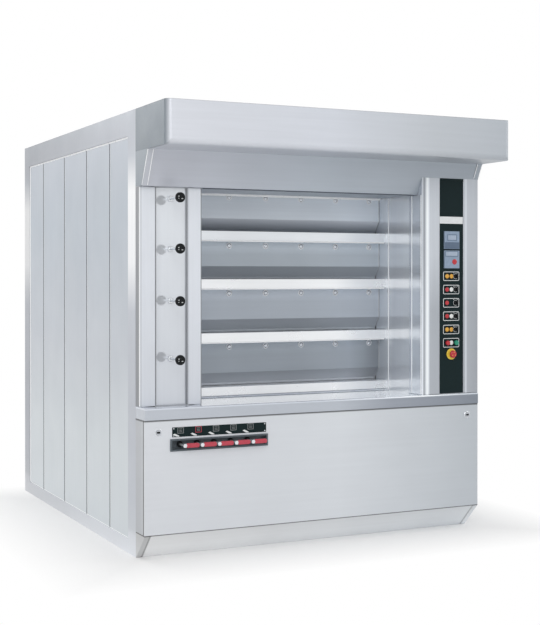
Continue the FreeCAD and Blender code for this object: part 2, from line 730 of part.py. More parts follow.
def make_deck_door(deck):
    """Flap with a lower lip bent into the oven, and a row of square holes for the bolts of its pivot bar."""
    top = f"mouth_top_{deck} - door_top_gap"
    bend = f"sill_top_{deck} + bend_height"
    low = f"sill_top_{deck} + lip_gap"
    leaf = section(f"door_leaf_{deck}",
                   [("door_front", top), ("door_front", bend), ("door_front + lip_back", low),
                    ("door_back + lip_back", low), ("door_back", bend), ("door_back", top)],
                   "left_wall + door_side_gap", "right_wall - door_side_gap")
    holes = [square_bar(f"door_hole_{deck}_{index}", (screw_place(index), f"pivot_{deck}"),
                        "(screw_neck / 2 + screw_slack)", "door_front", "door_back")
             for index in range(SCREWS)]
    return cut(f"deck_door_{deck}", leaf, holes)


def make_door_pivot(deck):
    """Square bar with a round pin at each end and a row of round-headed bolts through the door."""
    level = f"pivot_{deck}"
    start = "left_wall + bar_end_gap"
    stop = "right_wall - bar_end_gap"
    bar = box(f"pivot_square_{deck}", (start, stop), ("door_back", "door_back + pivot_bar"),
              (f"{level} - pivot_bar / 2", f"{level} + pivot_bar / 2"))
    pins = prism(f"pivot_pins_{deck}", "x", (f"{start} - pin_reach", "pivot_depth", level), "pin_radius",
                 f"{stop} - ({start}) + 2 * pin_reach")
    bolts = []
    for index in range(SCREWS):
        place = screw_place(index)
        bolts.append(bevelled(f"bolt_head_{deck}_{index}", (place, "door_front - screw_dome", level),
                              "screw_head", "screw_dome", ("screw_bevel",)))
        bolts.append(square_bar(f"bolt_neck_{deck}_{index}", (place, level), "screw_neck / 2",
                                "door_front", "door_back"))
    return fuse(f"door_pivot_{deck}", [bar, pins] + bolts)


# Counter, service panel and toe kick


def make_counter_top():
    """Counter sheet with a rounded front edge, closed ends and a turned-up edge under the lowest sill."""
    fold = section("counter_fold", [("counter_front", "counter_under"), ("counter_front", "counter_height"),
                                    ("post_front", "counter_height"), ("post_front", "counter_under")],
                   "-half_width", "half_width")
    front = number("counter_front")
    top = number("counter_height")

    def nose(ends):
        return all(abs(point.y - front) < TOUCH and abs(point.z - top) < TOUCH for point in ends)

    dress_edges(fold, nose, "counter_radius", "Fillet", "Radius")
    hollow = box("counter_hollow", ("-half_width + sheet_wall", "half_width - sheet_wall"),
                 ("counter_front + sheet_wall", "post_front"),
                 ("counter_under", "counter_height - sheet_wall"))
    between = ("left_wall", "right_wall")
    plate = box("counter_plate", between, ("post_front", "chamber_front"),
                ("counter_height - sheet_wall", "counter_height"))
    upstand = box("counter_upstand", between, ("sill_front + sheet_wall", "sill_front + 2 * sheet_wall"),
                  ("counter_height", "sill_bottom_4"))
    return fuse("counter_top", [cut("counter_shell", fold, [hollow]), plate, upstand])


LOCKS = {"left": "-lock_x", "right": "lock_x"}


def tray_pocket(name, trim, back):
    """Block of the valve tray's pocket, drawn in from the tray's outline."""
    return box(name, (f"tray_x + {trim}", f"tray_x + tray_width - {trim}"),
               ("panel_front - tray_raise", back), (f"tray_bottom + {trim}", f"tray_top - {trim}"))


def make_service_panel():
    """Folded cover under the counter, with the valve window and the lock holes."""
    outer = box("service_outer", ("-half_width", "half_width"), ("panel_front", "post_front"),
                ("toe_height", "counter_under"))
    hollow = box("service_hollow", ("-half_width + sheet_wall", "half_width - sheet_wall"),
                 ("panel_front + sheet_wall", "post_front"),
                 ("toe_height + sheet_wall", "counter_under - sheet_wall"))
    window = tray_pocket("service_window", "tray_wall", "panel_front + sheet_wall")
    holes = [rod(f"lock_hole_{side}", "y", (place, "panel_front", "lock_level"),
                 "lock_shaft + lock_clearance", "sheet_wall") for side, place in LOCKS.items()]
    return cut("service_panel", outer, [hollow, window] + holes)


def make_panel_lock(side):
    """Quarter-turn lock: slotted head, shaft through the panel and cam behind it."""
    place = LOCKS[side]
    ahead = "panel_front - lock_raise"
    cam_face = "panel_front + 2 * sheet_wall"
    head = prism(f"lock_head_{side}", "y", (place, ahead, "lock_level"), "lock_radius", "lock_raise")
    shaft = prism(f"lock_shaft_{side}", "y", (place, "panel_front", "lock_level"), "lock_shaft",
                  "2 * sheet_wall")
    cam = box(f"lock_cam_{side}", (f"{place} - cam_width / 2", f"{place} + cam_width / 2"),
              (cam_face, f"{cam_face} + sheet_wall"),
              ("lock_level - cam_width / 2", "lock_level + cam_length"))
    slot = box(f"lock_slot_{side}", (f"{place} - lock_radius", f"{place} + lock_radius"),
               (ahead, f"{ahead} + slot_depth"),
               ("lock_level - slot_width / 2", "lock_level + slot_width / 2"))
    return cut(f"panel_lock_{side}", fuse(f"lock_body_{side}", [head, shaft, cam]), [slot])


def make_toe_kick():
    """Sloped foot sheet under the service panel, with a raised strip at each end."""
    sheet_body = section("toe_sheet", [("panel_front", "toe_height"), ("post_front", "toe_height"),
                                       ("post_front", "0")],
                         "-half_width + toe_strip", "half_width - toe_strip")

    def strip(name, low, high):
        return section(name, [("panel_front - strip_raise", "toe_height"), ("post_front", "toe_height"),
                              ("post_front", "0"), ("post_front - strip_raise", "0")], low, high)

    hollow = section("toe_hollow", [("panel_front + 2 * sheet_wall", "toe_height"),
                                    ("post_front", "toe_height"), ("post_front", "2 * sheet_wall")],
                     "-half_width + toe_strip", "half_width - toe_strip")
    body = fuse("toe_body", [sheet_body, strip("toe_strip_left", "-half_width", "-half_width + toe_strip"),
                             strip("toe_strip_right", "half_width - toe_strip", "half_width")])
    return cut("toe_kick", body, [hollow])


# Water valves


def valve_place(valve):
    """X place of a water valve."""
    return f"tray_x + valve_margin + {VALVES.index(valve)} * valve_pitch"


def make_valve_tray():
    """Framed pocket in the service panel, with a square stem hole for each valve."""
    rim = tray_pocket("tray_rim", "0", "panel_front")
    pocket = tray_pocket("tray_pocket", "tray_wall", "tray_face + tray_wall")
    hollow = tray_pocket("tray_hollow", "2 * tray_wall", "tray_face")
    holes = [square_bar(f"tray_hole_{valve}", (valve_place(valve), "valve_level"),
                        "(stem_radius + stem_hole_slack)", "tray_face", "tray_face + tray_wall")
             for valve in VALVES]
    return cut("valve_tray", fuse("tray_body", [rim, pocket]), [hollow] + holes)


def make_steam_valves():
    """Block valve bodies on one square manifold behind the tray, bored for the lever stems."""
    seat = "tray_face + tray_wall"
    bodies = [square_bar(f"valve_body_{valve}", (valve_place(valve), "valve_level"), "valve_body", seat,
                         f"{seat} + valve_length") for valve in VALVES]
    manifold = box("water_manifold", ("tray_x", "tray_x + tray_width"),
                   (f"{seat} + valve_length - pipe_size", f"{seat} + valve_length"),
                   ("valve_level - pipe_size / 2", "valve_level + pipe_size / 2"))
    bores = [rod(f"valve_bore_{valve}", "y", (valve_place(valve), seat, "valve_level"),
                 "stem_radius + stem_clearance", "stem_bore") for valve in VALVES]
    return cut("steam_valves", fuse("valve_bodies", bodies + [manifold]), bores)


def make_valve_lever(valve):
    """Valve stem with its nut and a flat lever with round ends."""
    place = valve_place(valve)
    reach = f"{place} + lever_length - lever_width / 2"
    arm = box(f"lever_arm_{valve}", (place, reach), ("lever_face", "lever_face + lever_wall"),
              ("valve_level - lever_width / 2", "valve_level + lever_width / 2"))
    stem_length = "tray_face + tray_wall + stem_bore - stem_hole_slack - lever_face"
    rounds = {
        "tip": (reach, "lever_face", "lever_width / 2", "lever_wall"),
        "root": (place, "lever_face", "lever_width / 2", "lever_wall"),
        "stem": (place, "lever_face", "stem_radius", stem_length),
        "nut": (place, "lever_face - nut_length", "nut_radius", "nut_length"),
    }
    pieces = [prism(f"lever_{name}_{valve}", "y", (middle, start, "valve_level"), radius, length)
              for name, (middle, start, radius, length) in rounds.items()]
    return fuse(f"valve_lever_{valve}", [arm] + pieces)


# Control panel


def module_place(module, column):
    """X and Z place of one item of a switch module; the columns are -1, 0 and 1."""
    return f"item_middle + {column} * lamp_spacing", f"module_level - {module} * module_step"


LAMPS = {
    "amber_lamps": [module_place("0", "-1"), module_place("0", "0"),
                    module_place("4", "-1"), module_place("4", "0")],
    "red_lamps": [module_place("1", "-1"), module_place("2", "-1"), module_place("3", "-1")],
    "white_lamps": [module_place("1", "0"), module_place("3", "0"), module_place("5", "0")],
}
DISPLAY_LAMP = ("item_middle + display_lamp_side", "controller_level - controller_pitch - display_lamp_drop")
BUTTONS = {"stop_button": module_place("5", "-1"), "start_button": module_place("5", "1")}
RING = ("item_middle", "ring_level")


def make_lamps(name):
    """Round pilot lamps of one colour, narrower in front."""
    places = [(across, "control_face - lamp_raise", up) for across, up in LAMPS[name]]
    if name == "red_lamps":
        places.append((DISPLAY_LAMP[0], "control_face - controller_raise - lamp_raise", DISPLAY_LAMP[1]))
    return group(name, [bevelled(f"{name}_{index}", place, "lamp_radius", "lamp_raise", ("lamp_bevel",))
                        for index, place in enumerate(places, 1)])


def controller_place(index):
    """Z place of a panel controller's middle."""
    return f"controller_level - {index} * controller_pitch"


def make_controllers():
    """Two panel controllers: a square front frame and a body through the panel."""
    pieces = []
    for index in range(2):
        middle = ("item_middle", controller_place(index))
        face = square_bar(f"controller_face_{index}", middle, "controller_size / 2",
                          "control_face - controller_raise", "control_face")
        body = square_bar(f"controller_body_{index}", middle, "controller_body / 2", "control_face",
                          "control_face + controller_depth")
        pieces.append(fuse(f"controller_{index}", [face, body]))
    return group("controllers", pieces)


def make_control_panel():
    """Plate behind the window of the control box, with a hole for each controller and shaft."""
    plate = section("control_plate", pan_section("control_face", "control_face + sheet_wall", "sheet_wall"),
                    "control_left - panel_lap", "control_right + panel_lap")
    back = "control_face + sheet_wall"
    holes = []
    for selector in SELECTORS:
        across, up = selector_place(selector)
        holes.append(rod(f"selector_hole_{selector}", "y", (across, "control_face", up),
                         "shaft_radius + shaft_clearance", "sheet_wall"))
    for name, middle in list(BUTTONS.items()) + [("ring", RING)]:
        holes.append(square_bar(f"{name}_hole", middle, "(shaft_radius + shaft_clearance)",
                                "control_face", back))
    for index in range(2):
        holes.append(square_bar(f"controller_cutout_{index}", ("item_middle", controller_place(index)),
                                "(controller_body / 2 + cutout_slack)", "control_face", back))
    return cut("control_panel", plate, holes)


def selector_place(selector):
    """X and Z place of a selector switch, in the last column of its module."""
    return module_place(SELECTORS.index(selector), "1")


def make_selector_knob(selector):
    """Selector switch knob with a raised pointer bar, on a round shaft through the panel."""
    across, up = selector_place(selector)
    front = "control_face - selector_length"
    disc = prism(f"selector_disc_{selector}", "y", (across, front, up), "selector_radius", "selector_length")
    pointer = box(f"selector_bar_{selector}",
                  (f"{across} - selector_bar / 2", f"{across} + selector_bar / 2"),
                  (f"{front} - selector_raise", front),
                  (f"{up} - selector_radius + selector_edge", f"{up} + selector_radius - selector_edge"))
    shaft = prism(f"selector_shaft_{selector}", "y", (across, "control_face", up), "shaft_radius",
                  "shaft_reach")
    return fuse(f"selector_knob_{selector}", [disc, pointer, shaft])


def make_button(name):
    """Round push button on a square shaft through the panel, held off it by its travel."""
    across, up = BUTTONS[name]
    back = "control_face - button_gap"
    cap = prism(f"{name}_cap", "y", (across, f"{back} - button_raise", up), "button_radius", "button_raise")
    shaft = square_bar(f"{name}_shaft", (across, up), "shaft_radius", back, "control_face + shaft_reach")
    return fuse(name, [cap, shaft])


def make_emergency_ring():
    """Yellow ring behind the emergency button."""
    across, up = RING
    disc = prism("ring_disc", "y", (across, "control_face - ring_wall", up), "ring_radius", "ring_wall")
    hole = square_bar("ring_bore", RING, "(shaft_radius + shaft_clearance)", "control_face - ring_wall",
                      "control_face")
    return cut("emergency_ring", disc, [hole])


def make_emergency_button():
    """Mushroom-headed button on a square shaft in front of its ring."""
    across, up = RING
    back = "control_face - ring_wall - mushroom_gap"
    head = bevelled("mushroom_head", (across, f"{back} - mushroom_length", up), "mushroom_radius",
                    "mushroom_length", ("mushroom_bevel",))
    shaft = square_bar("mushroom_shaft", RING, "shaft_radius", back, "control_face + shaft_reach")
    return fuse("emergency_button", [head, shaft])


def check(parts):
    """Stop if any object failed or any sub-part is not a valid shape."""
    for thing in doc.Objects:
        if "Invalid" in thing.State or "Error" in thing.State:
            raise RuntimeError(f"{thing.Label} failed: {thing.State}")
    for piece in parts:
        if piece.Shape.isNull() or not piece.Shape.isValid():
            raise RuntimeError(f"{piece.Label} has no valid shape")


fill_sheet()
parts = [
    make_base_frame(), make_side_frames(), make_side_boards(), make_rear_panel(), make_roof_panel(),
    make_hood_canopy(), make_hood_slope(), make_left_column(), make_right_column(),
    make_damper_panel(), make_damper_bushes(), make_vapour_duct(), make_control_panel(), make_controllers(),
    make_emergency_ring(), make_emergency_button(), make_counter_top(), make_service_panel(), make_toe_kick(),
    make_valve_tray(), make_steam_valves(), make_mouth_jambs(), make_deck_sills(), make_baking_chambers(),
    make_hearth_stones(), make_heat_channels(), make_insulation(),
]
parts += [make_lamps(name) for name in LAMPS]
parts += [make_button(name) for name in BUTTONS]
parts += [make_panel_lock(side) for side in LOCKS]
for deck in DECKS:
    parts += [make_deck_door(deck), make_door_pivot(deck), make_damper_rod(deck), make_damper_knob(deck)]
parts += [make_valve_lever(valve) for valve in VALVES]
parts += [make_selector_knob(selector) for selector in SELECTORS]
doc.recompute()
check(parts)
os.makedirs("parts", exist_ok=True)
for piece in parts:
    piece.Shape.exportStep(f"parts/{piece.Label}.step")
    print(piece.Label, len(piece.Shape.Solids), round(piece.Shape.Volume / 1000))
print(len(parts), "parts")
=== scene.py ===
import json
from math import radians

import bpy
import numpy as np
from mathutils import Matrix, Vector


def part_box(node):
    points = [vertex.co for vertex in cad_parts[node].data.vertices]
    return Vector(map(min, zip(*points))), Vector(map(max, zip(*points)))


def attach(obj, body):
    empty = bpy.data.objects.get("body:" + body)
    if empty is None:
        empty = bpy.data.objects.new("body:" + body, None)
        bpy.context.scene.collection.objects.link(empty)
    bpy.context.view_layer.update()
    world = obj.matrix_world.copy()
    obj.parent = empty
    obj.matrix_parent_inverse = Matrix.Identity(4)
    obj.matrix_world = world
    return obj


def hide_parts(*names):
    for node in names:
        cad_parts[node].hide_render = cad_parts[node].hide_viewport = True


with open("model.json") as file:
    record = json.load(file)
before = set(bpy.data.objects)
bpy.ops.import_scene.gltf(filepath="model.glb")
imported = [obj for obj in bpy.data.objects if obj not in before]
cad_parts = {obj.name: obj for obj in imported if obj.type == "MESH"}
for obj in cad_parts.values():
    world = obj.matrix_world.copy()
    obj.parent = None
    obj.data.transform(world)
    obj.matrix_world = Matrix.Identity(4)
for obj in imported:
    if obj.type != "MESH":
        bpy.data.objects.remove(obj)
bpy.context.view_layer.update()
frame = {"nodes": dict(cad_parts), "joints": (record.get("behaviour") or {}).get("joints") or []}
nodes = frame["nodes"]
DECKS = (1, 2, 3, 4)
FIVE = (1, 2, 3, 4, 5)
anchors = {joint["child"]: [1000 * part for part in joint["pos_m"]]
           for joint in frame["joints"] if "pos_m" in joint}


# Colours and shader nodes; a stretch of the noise below 1 draws it out along that axis

UPRIGHT, ACROSS, INWARD, EVEN = (1, 1, 0.03), (0.03, 1, 1), (1, 0.03, 1), (1, 1, 1)


def shade(red, green, blue):
    """Linear colour from three screen levels of 0 to 255."""
    level = np.array([red, green, blue]) / 255
    linear = np.where(level <= 0.04045, level / 12.92, ((level + 0.055) / 1.055) ** 2.4)
    return (*(float(part) for part in linear), 1.0)


def steel(level):
    """Cool grey of one screen level."""
    return level - 5, level, min(level + 7, 255)


def fresh(name):
    """New material with a principled shader; returns the material, its tree and the shader."""
    material = bpy.data.materials.new(name)
    material.use_nodes = True
    tree = material.node_tree
    tree.nodes.clear()
    surface = tree.nodes.new("ShaderNodeBsdfPrincipled")
    output = tree.nodes.new("ShaderNodeOutputMaterial")
    tree.links.new(surface.outputs[0], output.inputs[0])
    return material, tree, surface


def found(tree, kind):
    """First node of one type in a tree."""
    return next(candidate for candidate in tree.nodes if candidate.type == kind)


def join(tree, value, socket):
    """Give a socket a link or a plain value."""
    if isinstance(value, bpy.types.NodeSocket):
        tree.links.new(value, socket)
    else:
        socket.default_value = value


def node(tree, kind, settings=None, **sockets):
    """Add a node; settings are its properties, sockets are values or links for its named inputs."""
    made = tree.nodes.new(kind)
    for key, value in (settings or {}).items():
        setattr(made, key, value)
    for key, value in sockets.items():
        join(tree, value, made.inputs[key.replace("_", " ")])
    return made


def maths(tree, operation, first, second):
    """One operation on two values, such as a product or the larger of the two."""
    made = node(tree, "ShaderNodeMath", {"operation": operation})
    join(tree, first, made.inputs[0])
    join(tree, second, made.inputs[1])
    return made.outputs[0]


def ramp(tree, value, low, high, first, second):
    """Carry a value from one range to another, held at its ends."""
    return node(tree, "ShaderNodeMapRange", Value=value, From_Min=low, From_Max=high, To_Min=first,
                To_Max=second).outputs[0]


def place_on(tree):
    """Object coordinates, in metres."""
    return node(tree, "ShaderNodeTexCoord").outputs["Object"]


def along(tree, axis):
    """Object coordinate along one axis, in metres."""
    return node(tree, "ShaderNodeSeparateXYZ", Vector=place_on(tree)).outputs["XYZ".index(axis)]


def spots(tree, stretch, scale, detail=3.0):
    """Noise on Object coordinates, stretched by three factors; returns a value about 0.5."""
    drawn = node(tree, "ShaderNodeMapping", Vector=place_on(tree), Scale=stretch).outputs[0]
    return node(tree, "ShaderNodeTexNoise", Vector=drawn, Scale=scale, Detail=detail).outputs["Fac"]


def varied(tree, stretch, scale, low, high, detail=3.0):
    """Value that wanders between two ends with the noise."""
    return ramp(tree, spots(tree, stretch, scale, detail), 0.3, 0.7, low, high)


def roughen(tree, surface, scale, rough):
    """Roughness that wanders by 15 per cent to either side of a value."""
    tree.links.new(varied(tree, EVEN, scale, rough * 0.85, rough * 1.15), surface.inputs["Roughness"])


def bumped(tree, surface, strength, distance, height):
    """Tilt the shading by a height."""
    bump = node(tree, "ShaderNodeBump", Strength=strength, Distance=distance, Height=height)
    tree.links.new(bump.outputs[0], surface.inputs["Normal"])


def stops(tree, axis, colours):
    """Colour that passes through a list of (place in metres, screen colour) along one Object axis."""
    value = along(tree, axis)
    low, high = colours[0][0], colours[-1][0]
    band = node(tree, "ShaderNodeValToRGB", Fac=ramp(tree, value, low, high, 0.0, 1.0))
    steps = band.color_ramp.elements
    for index, (where, colour) in enumerate(colours):
        step = steps[index] if index < 2 else steps.new(1.0)
        step.position = (where - low) / (high - low)
        step.color = shade(*colour)
    return band.outputs["Color"]


def blend(tree, mode, share, first, second):
    """Mix or product of two colours."""
    mix = node(tree, "ShaderNodeMix", {"data_type": "RGBA", "blend_type": mode})
    for socket, value in ((mix.inputs[0], share), (mix.inputs[6], first), (mix.inputs[7], second)):
        join(tree, value, socket)
    return mix.outputs[2]


def tinted(tree, colour, factor):
    """Colour times a grey factor."""
    grey = node(tree, "ShaderNodeCombineColor", Red=factor, Green=factor, Blue=factor).outputs[0]
    return blend(tree, "MULTIPLY", 1.0, colour, grey)


def sheet(name, axis, colours, grain, metal=0.35, rough=0.38, streak=0.02, dent=0.02, also=(), upper=None):
    """Brushed sheet metal: colours that pass into each other along an axis, perhaps with other ones higher
    up, and greys along another axis that they are multiplied by, with which the callers paint light and
    shade; fine streaks along the grain, cloudy handling marks, a wavy sheet."""
    material, tree, surface = fresh(name)
    lines = varied(tree, grain, 60.0, 1 - streak, 1 + streak)
    cloud = varied(tree, EVEN, 2.3, 0.98, 1.02, 2.0)
    tone = maths(tree, "MULTIPLY", lines, cloud)
    for other_axis, greys in also:
        factor = stops(tree, other_axis, [(where, (grey,) * 3) for where, grey in greys])
        tone = maths(tree, "MULTIPLY", tone, factor)
    colour = stops(tree, axis, colours)
    if upper:
        low, high, upper_colours = upper
        share = ramp(tree, along(tree, "Z"), low, high, 0.0, 1.0)
        colour = blend(tree, "MIX", share, colour, stops(tree, axis, upper_colours))
    tree.links.new(tinted(tree, colour, tone), surface.inputs["Base Color"])
    roughen(tree, surface, 5.0, rough)
    if dent:
        bumped(tree, surface, dent, 0.02, spots(tree, EVEN, 1.7, 1.0))
    surface.inputs["Metallic"].default_value = metal
    return material


def polish(material, axis, low, high, bright, plain):
    """Make a sheet more mirror-like on its side with the lower values of an Object axis: roughness and
    metal pass from a bright pair to a plain pair between two places."""
    tree = material.node_tree
    surface = found(tree, "BSDF_PRINCIPLED")
    value = along(tree, axis)
    for name, first, second in zip(("Roughness", "Metallic"), bright, plain):
        tree.links.new(ramp(tree, value, low, high, first, second), surface.inputs[name])


def moulded(name, colour, rough=0.45, speck=0.08, shine=0.5, coat=0.0):
    """Moulded plastic or paint: one colour with a fine mottling and a fine pebbled skin."""
    material, tree, surface = fresh(name)
    mottle = varied(tree, EVEN, 60.0, 1 - speck, 1 + speck)
    tree.links.new(tinted(tree, shade(*colour), mottle), surface.inputs["Base Color"])
    roughen(tree, surface, 25.0, rough)
    bumped(tree, surface, 0.08, 0.001, spots(tree, EVEN, 400.0))
    surface.inputs["Specular IOR Level"].default_value = shine
    surface.inputs["Coat Weight"].default_value = coat
    return material


# Finishes; tones are (place in metres, screen colour) and greys are (place in metres, screen level).
# On most of the oven's sheets the tones paint light and shade, and the greys paint shade.

# Place across the right column, level at its foot, level at its head: painted highlights and painted shade
# lines along the column's folds, and painted light that makes its face lighter at the head
COLUMN_FOLD_LIGHT = [
    (0.6055, 240, 224), (0.6065, 236, 220), (0.608, 212, 194), (0.6105, 246, 217), (0.6135, 237, 208),
    (0.6165, 165, 155), (0.6225, 165, 155), (0.6285, 210, 200), (0.639, 253, 253), (0.651, 227, 230),
    (0.6555, 180, 204), (0.88, 172, 194), (0.885, 209, 213), (0.892, 209, 213), (0.897, 177, 192),
    (0.967, 165, 186)]
COLUMN_ROUGH, COLUMN_METAL = 0.38, 0.3
TONES = {
    # Boards: darker towards the top, painted shade
    "boards": [(0.05, (215, 221, 225)), (0.5, (211, 217, 221)), (1.0, (199, 204, 211)),
               (1.7, (189, 197, 206)), (2.1, (188, 194, 203))],
    # Posts: a painted highlight band between 1.45 and 1.8 m, with painted shade above and below it
    "posts": [(0.0, (236, 239, 244)), (0.1, (222, 225, 231)), (0.13, (204, 208, 214)),
              (0.3, (196, 200, 208)), (0.7, (188, 192, 200)), (1.2, (198, 202, 210)),
              (1.45, (249, 250, 252)), (1.8, (252, 253, 254)), (1.98, (190, 195, 203)),
              (2.06, (182, 186, 194)), (2.2, (176, 181, 189))],
    # Hood: painted shade on its end and rounded corner, and darker towards the right
    "hood": [(-0.967, (122, 131, 139)), (-0.9662, (128, 136, 144)), (-0.9652, (166, 171, 178)),
             (-0.958, (170, 175, 182)), (-0.953, (188, 192, 198)), (-0.948, (206, 209, 216)),
             (-0.942, (212, 215, 222)), (-0.1, (206, 210, 218)), (0.5, (188, 193, 199)),
             (0.967, (176, 182, 189))],
    # Roof: darker than the rear panel's steel, painted shade that holds down the bright light on it
    "roof": [(-0.85, (150, 155, 162)), (1.27, (160, 165, 172))],
    # Slope: painted shade on its end strip, and darker towards the right
    "slope": [(-0.967, (150, 158, 166)), (-0.9665, (196, 199, 206)), (-0.937, (190, 193, 201)),
              (-0.9, (193, 196, 205)), (0.0, (179, 187, 196)), (0.967, (158, 166, 175))],
    # Left column: lighter towards the top, painted light
    "left_column": [(0.74, (208, 212, 219)), (1.2, (217, 221, 228)), (1.82, (222, 226, 232))],
    "right_column": [(place, steel(foot)) for place, foot, _ in COLUMN_FOLD_LIGHT],
    # Damper panel: lighter towards the top, painted light
    "mirror": [(0.74, (208, 212, 219)), (1.8, (224, 228, 233))],
    # Jambs: lighter and darker bands along their depth, painted light and shade
    "wall": [(-0.85, (234, 237, 241)), (-0.7, (226, 229, 234)), (-0.63, (236, 239, 243)),
             (-0.5, (214, 219, 226))],
    # Sills: the lowest one painted lightest and the upper ones darker, painted light and shade
    "sill": [(0.74, (252, 253, 254)), (0.85, (246, 248, 250)), (1.5, (246, 248, 250)),
             (1.56, (234, 238, 242)), (1.7, (234, 238, 242))],
    # Counter front: darker towards the right, painted shade
    "counter": [(-0.967, (188, 193, 201)), (0.1, (183, 189, 197)), (0.43, (152, 158, 168)),
                (0.8, (140, 147, 157)), (0.967, (132, 139, 149))],
    # Service panel: darker towards the right, painted shade
    "panel": [(-0.967, (214, 217, 222)), (0.1, (213, 217, 222)), (0.967, (187, 193, 199))],
    # Toe kick: darker towards the right, painted shade
    "toe": [(-0.967, (252, 253, 254)), (0.967, (238, 242, 246))],
    "lock": [(0.5, (176, 180, 186)), (0.7, (186, 190, 196))],
    "rod": [(0.5, (190, 194, 200)), (1.9, (205, 209, 214))],
    "bright": [(0.5, (226, 229, 233)), (2.1, (232, 235, 238))],
    "brass": [(-0.9, (196, 170, 110)), (0.0, (206, 182, 124))],
    "duct": [(0.7, (120, 122, 124)), (1.9, (135, 137, 138))],
    "rear": [(0.1, (186, 191, 198)), (2.2, (198, 203, 209))],
}
# Head colours of the right column, blended in between 1.2 and 1.5 m: painted light on its upper part
COLUMN_LIT_HEAD = (1.2, 1.5, [(place, steel(head)) for place, _, head in COLUMN_FOLD_LIGHT])
# Counter top: painted light, lighter than its front, with a painted reflection as a bright band at 0.4 to 0.6
# m
COUNTER_LIT_TOP = (0.732, 0.736, [(-0.967, (214, 219, 228)), (0.0, (208, 214, 223)), (0.4, (236, 241, 248)),
                              (0.6, (244, 248, 252)), (0.967, (190, 197, 206))])
SHADE_GREYS = {
    # Posts: painted shade, darker towards the rear
    "posts": [("Y", [(-0.85, 255), (-0.72, 255), (0.0, 244), (0.6, 232), (1.15, 226), (1.27, 230)])],
    # Hood: painted shade along its top edge, against the light that falls on it
    "hood": [("Z", [(1.99, 255), (2.1975, 255), (2.1992, 205), (2.2, 200)])],
    # Left column: painted shade on its side face and in its recess, and painted shade lines along its edges
    "left_column": [("X", [(-0.967, 172), (-0.9664, 172), (-0.9655, 255), (-0.961, 255), (-0.957, 222),
                           (-0.953, 255), (-0.887, 255), (-0.883, 205), (-0.711, 205), (-0.708, 255),
                           (-0.645, 255), (-0.641, 150), (-0.638, 140)])],
    # Damper panel: painted shade lines at the edges of its recess
    "mirror": [("X", [(-0.882, 140), (-0.878, 150), (-0.876, 255), (-0.72, 255), (-0.716, 200),
                      (-0.711, 190)])],
    # Sills: painted shade on the left and middle, leaving the right end lightest
    "sill": [("X", [(-0.638, 253), (-0.3, 246), (0.0, 246), (0.3, 255), (0.606, 255)])],
    # Service panel: painted shade on its side return and a painted shade line at its fold; along Z, a painted
    # shade line just under the counter
    "panel": [("Y", [(-0.976, 255), (-0.967, 255), (-0.963, 110), (-0.953, 110), (-0.949, 255),
                     (-0.944, 255), (-0.938, 226), (-0.85, 222)]),
              ("Z", [(0.128, 255), (0.674, 255), (0.679, 120), (0.684, 120)])],
    # Toe kick: painted shade on its left corner piece and painted shade lines at both corner folds; along Z,
    # darker towards the top with a painted shade line under the service panel
    "toe": [("X", [(-0.967, 214), (-0.943, 214), (-0.941, 130), (-0.937, 130), (-0.935, 255), (0.935, 255),
                   (0.937, 205), (0.941, 205), (0.943, 255), (0.967, 255)]),
            ("Z", [(0.0, 255), (0.05, 250), (0.121, 236), (0.124, 116), (0.128, 116)])],
}
# Material name, axis of the tones, grain, metal, roughness, then streak and dent where they are not usual
SHEETS = {
    "boards": ("boards_steel", "Z", UPRIGHT, 0.25, 0.42, 0.012),
    "posts": ("post_steel", "Z", UPRIGHT, 0.25, 0.4, 0.012),
    "hood": ("hood_steel", "X", ACROSS, 0.3, 0.4),
    "roof": ("roof_steel", "Y", INWARD, 0.2, 0.62, 0.02, 0),
    "slope": ("slope_steel", "X", ACROSS, 0.3, 0.4),
    "left_column": ("left_column_steel", "Z", UPRIGHT, 0.3, 0.38),
    "right_column": ("right_column_steel", "X", UPRIGHT, COLUMN_METAL, COLUMN_ROUGH),
    "mirror": ("damper_steel", "Z", UPRIGHT, 0.35, 0.07, 0.01),
    "wall": ("wall_steel", "Y", UPRIGHT, 0.6, 0.15, 0.02, 0),
    "sill": ("sill_steel", "Z", ACROSS, 0.85, 0.3, 0.02, 0),
    "counter": ("counter_steel", "X", ACROSS, 0.6, 0.05, 0.02, 0),
    "panel": ("panel_steel", "X", ACROSS, 0.3, 0.42, 0.012),
    "toe": ("toe_steel", "X", ACROSS, 0.3, 0.42, 0.012),
    "lock": ("lock_steel", "Z", EVEN, 0.8, 0.3),
    "rod": ("rod_steel", "Z", INWARD, 0.9, 0.22),
    "bright": ("bright_steel", "Z", EVEN, 0.6, 0.2),
    "brass": ("valve_brass", "X", EVEN, 0.9, 0.3),
    "duct": ("duct_steel", "Z", EVEN, 0.6, 0.45),
    "rear": ("rear_steel", "Z", UPRIGHT, 0.3, 0.42),
}
HIGHER = {"right_column": COLUMN_LIT_HEAD, "counter": COUNTER_LIT_TOP}
FINISHES = {finish: sheet(name, axis, TONES[finish], *looks, also=SHADE_GREYS.get(finish, ()),
                          upper=HIGHER.get(finish))
            for finish, (name, axis, *looks) in SHEETS.items()}
polish(FINISHES["right_column"], "X", 0.6062, 0.6068, (0.2, 0.6), (COLUMN_ROUGH, COLUMN_METAL))
